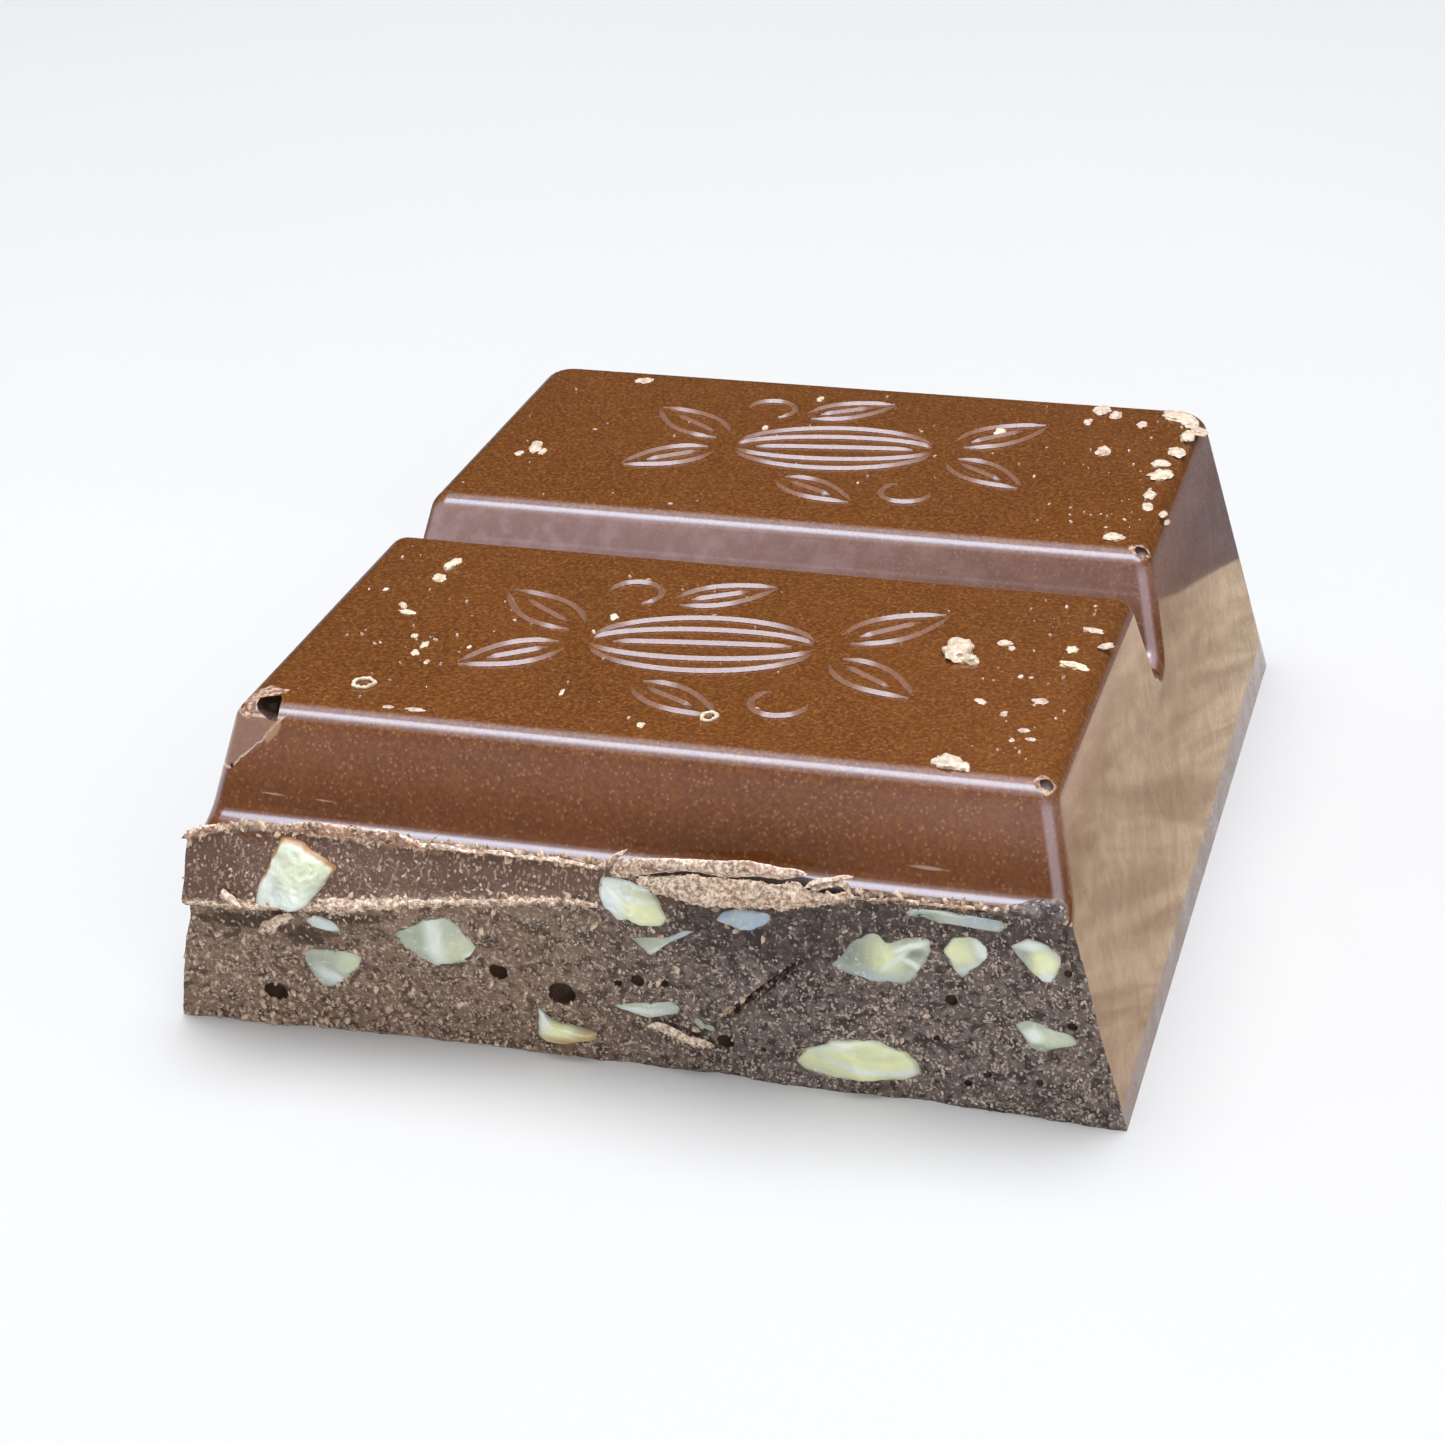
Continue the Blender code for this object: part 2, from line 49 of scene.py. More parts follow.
# ======================================================================================
# The moulded bar.  A thick bar of dark milk chocolate, cast in a mould with V grooves, so its
# sides are drafted, its lips are rounded and its top carries a raised line design.  The front
# end is snapped off just past a groove.
# ======================================================================================
MM = 0.001
TOP_WIDTH = 32.3 * MM
SEGMENT_DEPTH = 17.65 * MM
HEIGHT = 13.9 * MM
GROOVE_WIDTH = 4.3 * MM
GROOVE_DEPTH = 4.35 * MM
KNEE_IN = 1.38 * MM
KNEE_DOWN = 3.86 * MM
KNEE_RADIUS = 0.85 * MM
FLOOR_RADIUS = 0.90 * MM
DRAFT = math.tan(math.radians(12.9))
EDGE_RADIUS = 0.75 * MM
FAR_CORNER_RADIUS = 1.3 * MM
STUB = 7.0 * MM
HALF_BASE = TOP_WIDTH / 2 + HEIGHT * DRAFT
TOTAL_TOP_DEPTH = 2 * SEGMENT_DEPTH + GROOVE_WIDTH
# The far foot of the CAD bar gives the place of the front lip, from which Y is drawn below
LIP_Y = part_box("chocolate_bar")[1][1] - HEIGHT * DRAFT - TOTAL_TOP_DEPTH


def mix(a, b, t):
    return a + (b - a) * t


def clamp(value, low=0.0, high=1.0):
    return max(low, min(high, value))


def lumpy(x, z, seed, wide, high=None):
    """Noise from -1 to 1 over the face, with lumps of the given size in millimetres."""
    return noise.noise(Vector((x / (wide * MM), z / ((high or wide) * MM), seed)))


def bell(x, z, middle_x, middle_z, wide, high):
    """1 at a place given in millimetres, and less and less around it."""
    return math.exp(-((x - middle_x * MM) / (wide * MM)) ** 2 - ((z - middle_z * MM) / (high * MM)) ** 2)


def add_object(name, data):
    obj = bpy.data.objects.new(name, data)
    bpy.context.scene.collection.objects.link(obj)
    return obj


def discard(objects):
    for obj in objects:
        bpy.data.objects.remove(obj, do_unlink=True)


def evaluated(obj):
    """The mesh of an object with its modifiers applied."""
    graph = bpy.context.evaluated_depsgraph_get()
    graph.update()
    return bpy.data.meshes.new_from_object(obj.evaluated_get(graph))


def mesh_object(name, bm, mats=()):
    bmesh.ops.recalc_face_normals(bm, faces=bm.faces)
    mesh = bpy.data.meshes.new(name)
    bm.to_mesh(mesh)
    bm.free()
    for mat in mats:
        mesh.materials.append(mat)
    return add_object(name, mesh)


def bridge(bm, rings, caps=(0, -1)):
    """Joins each ring of corners to the next with quads, and closes the rings named as caps."""
    for near, far in zip(rings, rings[1:]):
        for i in range(len(near)):
            j = (i + 1) % len(near)
            bm.faces.new((near[i], near[j], far[j], far[i]))
    for cap in caps:
        bm.faces.new(rings[cap])


def boolean(target, tools, operation):
    """One Boolean of a collection of closed pieces, applied; the pieces are then removed."""
    group = bpy.data.collections.new("tools")
    bpy.context.scene.collection.children.link(group)
    for tool in tools:
        bpy.context.scene.collection.objects.unlink(tool)
        group.objects.link(tool)
    mod = target.modifiers.new(operation, "BOOLEAN")
    mod.operation = operation
    mod.operand_type = "COLLECTION"
    mod.collection = group
    mod.solver = "MANIFOLD"
    mod.material_mode = "TRANSFER"
    mesh = evaluated(target)
    target.modifiers.remove(mod)
    target.data = mesh
    discard(tools)
    bpy.data.collections.remove(group)


def eased(before, corner, after, radius, count=8):
    """Points that round off one corner of a line in Y and Z."""
    before, corner, after = Vector(before), Vector(corner), Vector(after)
    a, b = (before - corner).normalized(), (after - corner).normalized()
    half = a.angle(b) / 2
    reach = radius / math.tan(half)
    middle = corner + (a + b).normalized() * radius / math.sin(half)
    start, end = corner + a * reach - middle, corner + b * reach - middle
    return [tuple(middle + start.slerp(end, i / count).normalized() * radius)
            for i in range(count + 1)]


def side_profile():
    """Y and Z of the bar seen from the side, from the stub of the missing segment to the far foot."""
    half = GROOVE_WIDTH / 2

    def groove(middle):
        line = [(middle - half, HEIGHT),
                (middle - half + KNEE_IN, HEIGHT - KNEE_DOWN),
                (middle, HEIGHT - GROOVE_DEPTH),
                (middle + half - KNEE_IN, HEIGHT - KNEE_DOWN),
                (middle + half, HEIGHT)]
        points = [line[0]]
        for i, radius in ((1, KNEE_RADIUS), (2, FLOOR_RADIUS), (3, KNEE_RADIUS)):
            points += eased(line[i - 1], line[i], line[i + 1], radius)
        return points + [line[-1]]

    return ([(-STUB, 0.0), (-STUB, HEIGHT)]
            + groove(-half)
            + groove(SEGMENT_DEPTH + half)
            + [(TOTAL_TOP_DEPTH, HEIGHT), (TOTAL_TOP_DEPTH + HEIGHT * DRAFT, 0.0)])


def moulded_block(mats):
    bm = bmesh.new()
    rings = []
    for y, z in side_profile():
        x = TOP_WIDTH / 2 + (HEIGHT - z) * DRAFT
        rings.append([bm.verts.new((-x, y, z)), bm.verts.new((x, y, z))])
    for i, a in enumerate(rings):
        b = rings[(i + 1) % len(rings)]
        bm.faces.new((a[0], a[1], b[1], b[0]))
    for side in (0, 1):
        bm.faces.new([ring[side] for ring in rings])
    bmesh.ops.recalc_face_normals(bm, faces=bm.faces)
    far = [e for e in bm.edges
           if all(v.co.y > TOTAL_TOP_DEPTH - MM for v in e.verts)
           and abs(e.verts[0].co.z - e.verts[1].co.z) > MM]
    bmesh.ops.bevel(bm, geom=far, offset=FAR_CORNER_RADIUS, segments=8, profile=0.5,
                    affect="EDGES", clamp_overlap=True)
    lips = [e for e in bm.edges
            if e.calc_face_angle(0.0) > math.radians(15)
            and max(v.co.z for v in e.verts) > MM
            and min(v.co.y for v in e.verts) > -STUB + MM
            and (abs(e.verts[0].co.x - e.verts[1].co.x) < TOP_WIDTH / 2
                 or e.verts[0].co.z > HEIGHT - MM)]
    bmesh.ops.bevel(bm, geom=lips, offset=EDGE_RADIUS, segments=10, profile=0.5,
                    affect="EDGES", clamp_overlap=False)
    return mesh_object("moulded_bar", bm, mats)


# --- the broken face: crags, the ledge left under the groove, and the crack that climbs to the right
FACE_FOOT = (-1.15 * MM, -0.8 * MM)
FOOT_BOW = 0.55 * MM
RIDGE_Y = (-3.15 * MM, -1.75 * MM)
RIDGE_END_X = 6.0 * MM
RIDGE_LINE = ((-19.4, 6.45), (-15.5, 6.50), (-10.4, 7.18), (-2.3, 8.03), (1.9, 7.75), (3.0, 8.90),
              (6.0, 9.30), (19.4, 9.30))
RECESS_DEPTH = 1.6 * MM
RECESS_X = (-10.5 * MM, -15.5 * MM)
RIM_Y = (-1.75 * MM, -1.85 * MM)
RIM_Z = 9.58 * MM
HORN_X = -17.5 * MM
HORN_WIDTH = 1.3 * MM
HORN_REACH = 1.5 * MM
FACE_CELL = 0.135 * MM
FACE_TOP = 12.5 * MM
# Lengths and heights of the relief in millimetres, from crags down to sand
ROUGH_WAVES = ((6.0, 0.22), (2.4, 0.13), (1.2, 0.09))
GRAIN_WAVES = ((0.62, 0.075), (0.30, 0.060))
STEP_FOOT = (3.3 * MM, 2.9 * MM)
STEP_HEAD = (6.9 * MM, 6.4 * MM)
STEP_RISE = 0.45 * MM
STEP_FADE = 2.6 * MM
CRACK_DEPTH = 0.55 * MM
CRACK_WIDTH = 0.16 * MM


def waves(x, z, sizes, shift=0.0):
    return sum(height * MM * lumpy(x, z, 3.7 * i + 0.5 + shift, length)
               for i, (length, height) in enumerate(sizes))


def crack_place(x, z):
    """Place along the crack that climbs to the right, from 0 to 1, and the distance above it."""
    dx, dz = STEP_HEAD[0] - STEP_FOOT[0], STEP_HEAD[1] - STEP_FOOT[1]
    length = math.hypot(dx, dz)
    right, up = x - STEP_FOOT[0], z - STEP_FOOT[1]
    return (right * dx + up * dz) / length / length, (up * dx - right * dz) / length


def step_relief(x, z):
    run, above = crack_place(x, z)
    if above < 0:
        return 0.0
    return STEP_RISE * clamp(1.2 - abs(run - 0.5) * 1.3) * math.exp(-above / STEP_FADE)


def crack_side(x, z):
    """How far a place lies below the crack, and how strong the crack is there."""
    run, above = crack_place(x, z)
    return -above, clamp(2.2 - abs(run - 0.5) * 4.0)


def ridge_height(x):
    for (x_low, z_low), (x_high, z_high) in zip(RIDGE_LINE, RIDGE_LINE[1:]):
        if x < x_high * MM:
            return mix(z_low, z_high, clamp((x / MM - x_low) / (x_high - x_low))) * MM
    return RIDGE_LINE[-1][1] * MM


def recess(x, share):
    """How far the face falls back under the left half of the ridge, at a share of its height."""
    left = clamp((RECESS_X[0] - x) / (RECESS_X[0] - RECESS_X[1]))
    return RECESS_DEPTH * left * share ** 3 * (1 - share ** 8)


def face_y(x, z):
    """Y of the broken face, as the CAD bar has it."""
    across = clamp((x + HALF_BASE) / (2 * HALF_BASE))
    run = clamp((x + HALF_BASE) / (RIDGE_END_X + HALF_BASE))
    ridge_z = ridge_height(x)
    ridge_y = mix(*RIDGE_Y, run ** 0.85)
    horn = HORN_REACH * math.exp(-(min(HORN_X - x, 0.0) / HORN_WIDTH) ** 2)
    rim_y = mix(*RIM_Y, across) - horn
    foot_y = mix(*FACE_FOOT, across) + FOOT_BOW * math.sin(math.pi * across)
    rough = waves(x, z, ROUGH_WAVES)
    if z > ridge_z:
        up = clamp((z - ridge_z) / max(RIM_Z - ridge_z, 0.05 * MM))
        return mix(ridge_y, rim_y, up) + rough * mix(0.6, 0.35, up)
    share = clamp(z / ridge_z)
    return mix(foot_y, ridge_y, share) + recess(x, share) + rough - step_relief(x, z)


def on_ledge(x, z):
    """1 on the smoother ledge above the ridge, 0 on the granular face below it."""
    return clamp((z - ridge_height(x)) / (0.5 * MM))


def fine_face_y(x, z):
    """The face with its grain: sandy below the ridge, torn upwards in streaks on the ledge."""
    ledge = on_ledge(x, z)
    sand = waves(x, z, GRAIN_WAVES, 20.0)
    streaks = 0.05 * MM * lumpy(x, z, 9.1, 0.22, 1.1)
    below, strength = crack_side(x, z)
    crack = CRACK_DEPTH * strength * math.exp(-((below - CRACK_WIDTH) / CRACK_WIDTH) ** 2)
    return face_y(x, z) + mix(sand, streaks + 0.35 * sand, ledge) + crack


def break_cutter(mats):
    """All that lies in front of the broken face, as one closed block with the face as its back."""
    x_count = round(2 * (HALF_BASE + MM) / FACE_CELL)
    z_count = round((FACE_TOP + MM) / FACE_CELL)
    xs = [mix(-HALF_BASE - MM, HALF_BASE + MM, i / x_count) for i in range(x_count + 1)]
    zs = [mix(-MM, FACE_TOP, k / z_count) for k in range(z_count + 1)] + [HEIGHT + MM]
    bm = bmesh.new()
    back = [[bm.verts.new((x, fine_face_y(x, z), z)) for z in zs] for x in xs]
    front = [[bm.verts.new((x, -STUB - MM, z)) for z in (zs[0], zs[-1])] for x in (xs[0], xs[-1])]
    for near, far in zip(back, back[1:]):
        for k in range(len(zs) - 1):
            bm.faces.new((near[k], near[k + 1], far[k + 1], far[k]))
    bm.faces.new((front[0][0], front[0][1], front[1][1], front[1][0]))
    bm.faces.new([front[0][1], front[0][0]] + back[0])
    bm.faces.new([front[1][0], front[1][1]] + back[-1][::-1])
    bm.faces.new([front[0][0], front[1][0]] + [column[0] for column in back[::-1]])
    bm.faces.new([front[1][1], front[0][1]] + [column[-1] for column in back])
    bmesh.ops.triangulate(bm, faces=bm.faces)
    return mesh_object("break_cutter", bm, mats)


# --- air bubbles: across, up and half size in millimetres on the face, then those at the lips
FACE_BUBBLES = (
    (-14.95, 1.86, 0.53), (-5.32, 4.1, 0.45), (-2.9, 3.29, 0.6), (0.29, 4.37, 0.3),
    (1.36, 4.38, 0.21), (-0.49, 4.15, 0.19), (12.61, 5.05, 0.27), (3.6, 1.75, 0.38),
    (17.26, 4.7, 0.22), (13.95, 1.75, 0.18), (13.2, 1.2, 0.18), (15.98, 1.7, 0.15),
    (5.13, 1.61, 0.13), (17.06, 7, 0.16), (12, 3.11, 0.16))
LIP_BUBBLES = ((15.8, 0.45, 0.27), (15.75, 22.5, 0.3))
# The broken-in bubble at the left corner: its middle, the way it opens, and its outline across that
HOLE = (-14.81, 0.29, 13.78)
HOLE_WAY = (0.2547, -0.8606, 0.4410)
HOLE_OUTLINE = ((-0.49, 0.12), (-0.37, 0.37), (-0.04, 0.44), (0.45, 0.48), (0.49, 0.24),
                (0.41, -0.24), (0.33, -0.61), (0.04, -0.55), (-0.28, -0.28), (-0.45, -0.10))


def bubble(centre, radius, mats, detail=3):
    """A hollow that isn't quite round, as air trapped in a stiffening mass leaves."""
    bm = bmesh.new()
    bmesh.ops.create_icosphere(bm, subdivisions=detail, radius=radius)
    for vert in bm.verts:
        vert.co *= 1 + 0.16 * noise.noise(vert.co / radius + centre / MM)
        vert.co += centre
    return mesh_object("bubble", bm, mats)


def corner_hole(mats):
    way = Vector(HOLE_WAY)
    right = Vector((-way.y, way.x, 0)).normalized()
    rise = way.cross(right)
    bm = bmesh.new()
    rings = []
    for depth, scale in ((-1.2, 1.0), (0.35, 1.0), (0.9, 0.75), (1.25, 0.3)):
        middle = (Vector(HOLE) - way * depth) * MM
        rings.append([bm.verts.new(middle + (right * u + rise * v) * scale * MM) for u, v in HOLE_OUTLINE])
    bridge(bm, rings)
    return mesh_object("corner_hole", bm, mats)


def bubbles(mats):
    cutters = []
    for x, z, radius in FACE_BUBBLES:
        x, z, radius = x * MM, z * MM, radius * MM
        cutters.append(bubble(Vector((x, face_y(x, z) + radius * 0.35, z)), radius, mats))
    for x, y, radius in LIP_BUBBLES:
        x, y, radius = x * MM, y * MM, radius * MM
        cutters.append(bubble(Vector((x, y, HEIGHT - radius * 0.55)), radius, mats))
    return cutters + [corner_hole(mats)]


# --- the raised line design: a ribbed pod between leaves, on each segment
LINE_WIDTH = 0.38 * MM
LINE_HEIGHT = 0.15 * MM
LINE_SUNK = 0.15 * MM
LINE_SIDES = 7


def arc(centre, radii, start, end, turn=0.0, count=24):
    points = []
    c, s = math.cos(math.radians(turn)), math.sin(math.radians(turn))
    for i in range(count + 1):
        angle = math.radians(mix(start, end, i / count))
        x, y = radii[0] * math.cos(angle), radii[1] * math.sin(angle)
        points.append((centre[0] + x * c - y * s, centre[1] + x * s + y * c))
    return points


def leaf(base, tip, width):
    bx, by = base
    dx, dy = tip[0] - bx, tip[1] - by
    lines = []
    for side, reach in ((-1, 0.96), (1, 0.96), (0, 0.72)):
        points = []
        for i in range(19):
            t = mix(0.08 if side else 0.2, reach, i / 18)
            bow = side * width * math.sin(math.pi * t ** 0.85)
            points.append((bx + dx * t - dy * bow, by + dy * t + dx * bow))
        lines.append(points)
    return lines


def pod(centre, length, width, turn):
    lines = [arc(centre, (length, width * share), 12, 168, turn, 30)
             for share in (-1.0, -0.55, 0.55, 1.0)]
    return lines + [arc(centre, (length * 0.8, width * 0.04), 10, 170, turn, 16)]


def design_lines():
    """Centre lines of the design, in millimetres round the middle of a segment."""
    lines = pod((0.2, 0.3), 4.6, 2.5, 8)
    for base, tip, width in (((-4.9, 0.6), (-9.3, 3.9), 0.20), ((-5.0, -0.7), (-9.0, -3.6), 0.20),
                             ((5.4, 1.6), (9.4, 5.2), 0.20), ((5.5, 0.1), (9.6, -2.8), 0.20),
                             ((-2.3, 3.9), (1.9, 6.4), 0.19), ((-1.6, -3.6), (2.6, -5.9), 0.19)):
        lines += leaf(base, tip, width)
    lines.append(arc((-3.9, 4.6), (1.1, 1.1), -60, 190))
    lines.append(arc((4.6, -4.3), (1.1, 1.1), 120, 370))
    return lines


def raised_line(points, origin, mats):
    """A low rounded ridge along a centre line, which sinks away at both ends."""
    places = [Vector((origin[0] + x * MM, origin[1] + y * MM, HEIGHT)) for x, y in points]
    bm = bmesh.new()
    rings = []
    for i, place in enumerate(places):
        ahead = places[min(i + 1, len(places) - 1)] - places[max(i - 1, 0)]
        side = Vector((-ahead.y, ahead.x, 0)).normalized()
        end = clamp(min(i, len(places) - 1 - i) / 2.5, 0.25)
        ring = [(-0.5, -LINE_SUNK), (0.5, -LINE_SUNK)]
        for k in range(LINE_SIDES):
            across = 0.5 - (k + 0.5) / LINE_SIDES
            ring.append((across, LINE_HEIGHT * (1 - 2 * abs(across)) * end ** 0.7))
        rings.append([bm.verts.new(place + side * across * LINE_WIDTH * end + Vector((0, 0, up)))
                      for across, up in ring])
    bridge(bm, rings)
    return mesh_object("raised_line", bm, mats)


def designs(mats):
    return [raised_line(points, (0.0, middle), mats)
            for middle in (SEGMENT_DEPTH / 2, SEGMENT_DEPTH * 1.5 + GROOVE_WIDTH)
            for points in design_lines()]


# --- materials of the bar: a glossy moulded skin full of fine golden flecks, and a dry broken mass
class Value:
    """A number that varies over a surface.  Arithmetic on it adds Math nodes to its look."""

    def __init__(self, look, socket):
        self.look = look
        self.socket = socket

    def math(self, operation, first, second, clamped=False):
        settings = {"operation": operation, "use_clamp": clamped}
        return Value(self.look, self.look.node("ShaderNodeMath", settings, {0: first, 1: second}).outputs[0])

    def __add__(self, other):
        return self.math("ADD", self, other)

    def __sub__(self, other):
        return self.math("SUBTRACT", self, other)

    def __rsub__(self, other):
        return self.math("SUBTRACT", other, self)

    def __mul__(self, other):
        return self.math("MULTIPLY", self, other)

    def max(self, other):
        return self.math("MAXIMUM", self, other)

    def clamped(self):
        return self.math("ADD", self, 0.0, clamped=True)

    def fade(self, low, high):
        """0 below low, 1 above high and a smooth rise between them."""
        settings = {"interpolation_type": "SMOOTHSTEP", "clamp": True}
        inputs = {"Value": self, "From Min": low, "From Max": high, "To Min": 0.0, "To Max": 1.0}
        return Value(self.look, self.look.node("ShaderNodeMapRange", settings, inputs).outputs[0])


def feed(tree, node, key, value):
    """Links an input of a node, by number or name, to a socket, or sets it to a number or colour."""
    by_name = (s for s in node.inputs if s.enabled and key in (s.identifier, s.name))
    socket = node.inputs[key] if isinstance(key, int) else next(by_name)
    value = value.socket if isinstance(value, Value) else value
    if isinstance(value, bpy.types.NodeSocket):
        tree.links.new(value, socket)
    elif isinstance(value, tuple) and len(value) == 3 and socket.type == "RGBA":
        socket.default_value = (*value, 1.0)
    else:
        socket.default_value = value


def new_node(tree, kind, settings=None, inputs=None):
    node = tree.nodes.new(kind)
    for key, value in (settings or {}).items():
        setattr(node, key, value)
    for key, value in (inputs or {}).items():
        feed(tree, node, key, value)
    return node


class Look:
    """One procedural material on a Principled shader, with its sizes in millimetres."""

    def __init__(self, name):
        self.material = bpy.data.materials.new(name)
        self.material.use_nodes = True
        self.tree = self.material.node_tree
        self.shader = self.tree.nodes["Principled BSDF"]
        self.place = self.node("ShaderNodeTexCoord").outputs["Object"]
        self.base = None

    def node(self, kind, settings=None, inputs=None):
        return new_node(self.tree, kind, settings, inputs)

    def set(self, **inputs):
        for key, value in inputs.items():
            feed(self.tree, self.shader, key.replace("_", " "), value)

    def stretched(self, scale, turn=(0.0, 0.0, 0.0)):
        inputs = {"Vector": self.place, "Scale": scale, "Rotation": turn}
        return self.node("ShaderNodeMapping", None, inputs).outputs[0]

    def noise(self, size, detail=2.0, roughness=0.5, place=None, warp=0.0):
        inputs = {"Vector": place or self.place, "Scale": 1 / (size * MM), "Detail": detail,
                  "Roughness": roughness, "Distortion": warp}
        return Value(self, self.node("ShaderNodeTexNoise", None, inputs).outputs[0])

    def cells(self, size, feature="F1"):
        """Distance to the nearest of scattered points, in cell widths."""
        inputs = {"Vector": self.place, "Scale": 1 / (size * MM)}
        node = self.node("ShaderNodeTexVoronoi", {"feature": feature}, inputs)
        return Value(self, node.outputs["Distance"])

    def part(self, axis):
        """One coordinate of the place on the object."""
        parts = self.node("ShaderNodeSeparateXYZ", None, {"Vector": self.place})
        return Value(self, parts.outputs[axis]) * (1 / MM)

    def patch(self, centre, turn, half_sizes, ragged):
        """Over 0 inside an egg shape turned by some degrees, with a ragged border."""
        inputs = {"Vector": self.place,
                  "Location": tuple(c * MM + shift for c, shift in zip(centre, (0.0, LIP_Y, 0.0))),
                  "Rotation": tuple(math.radians(a) for a in turn),
                  "Scale": tuple(size * MM for size in half_sizes)}
        local = self.node("ShaderNodeMapping", {"vector_type": "TEXTURE"}, inputs).outputs[0]
        length = self.node("ShaderNodeVectorMath", {"operation": "LENGTH"}, {0: local}).outputs["Value"]
        return 1.0 - Value(self, length) + (self.noise(0.5, 3) - 0.5) * ragged

    def patches(self, *rows):
        """Over 0 inside any of several such shapes."""
        first, *others = (self.patch(*row) for row in rows)
        for other in others:
            first = first.max(other)
        return first

    def attribute(self, name):
        node = self.node("ShaderNodeAttribute", {"attribute_name": name})
        return Value(self, node.outputs["Fac"])

    def blend(self, factor, low, high):
        """A colour between two colours."""
        node = self.node("ShaderNodeMix", {"data_type": "RGBA"},
                         {"Factor_Float": factor, "A_Color": low, "B_Color": high})
        return next(s for s in node.outputs if s.identifier == "Result_Color")

    def over(self, factor, colour):
        """Lays a colour over the base colour so far, as thick as the factor says."""
        self.base = self.blend(factor, self.base, colour)

    def bump(self, height, depth, strength=1.0):
        inputs = {"Height": height, "Distance": depth * MM, "Strength": strength}
        return self.node("ShaderNodeBump", None, inputs).outputs[0]


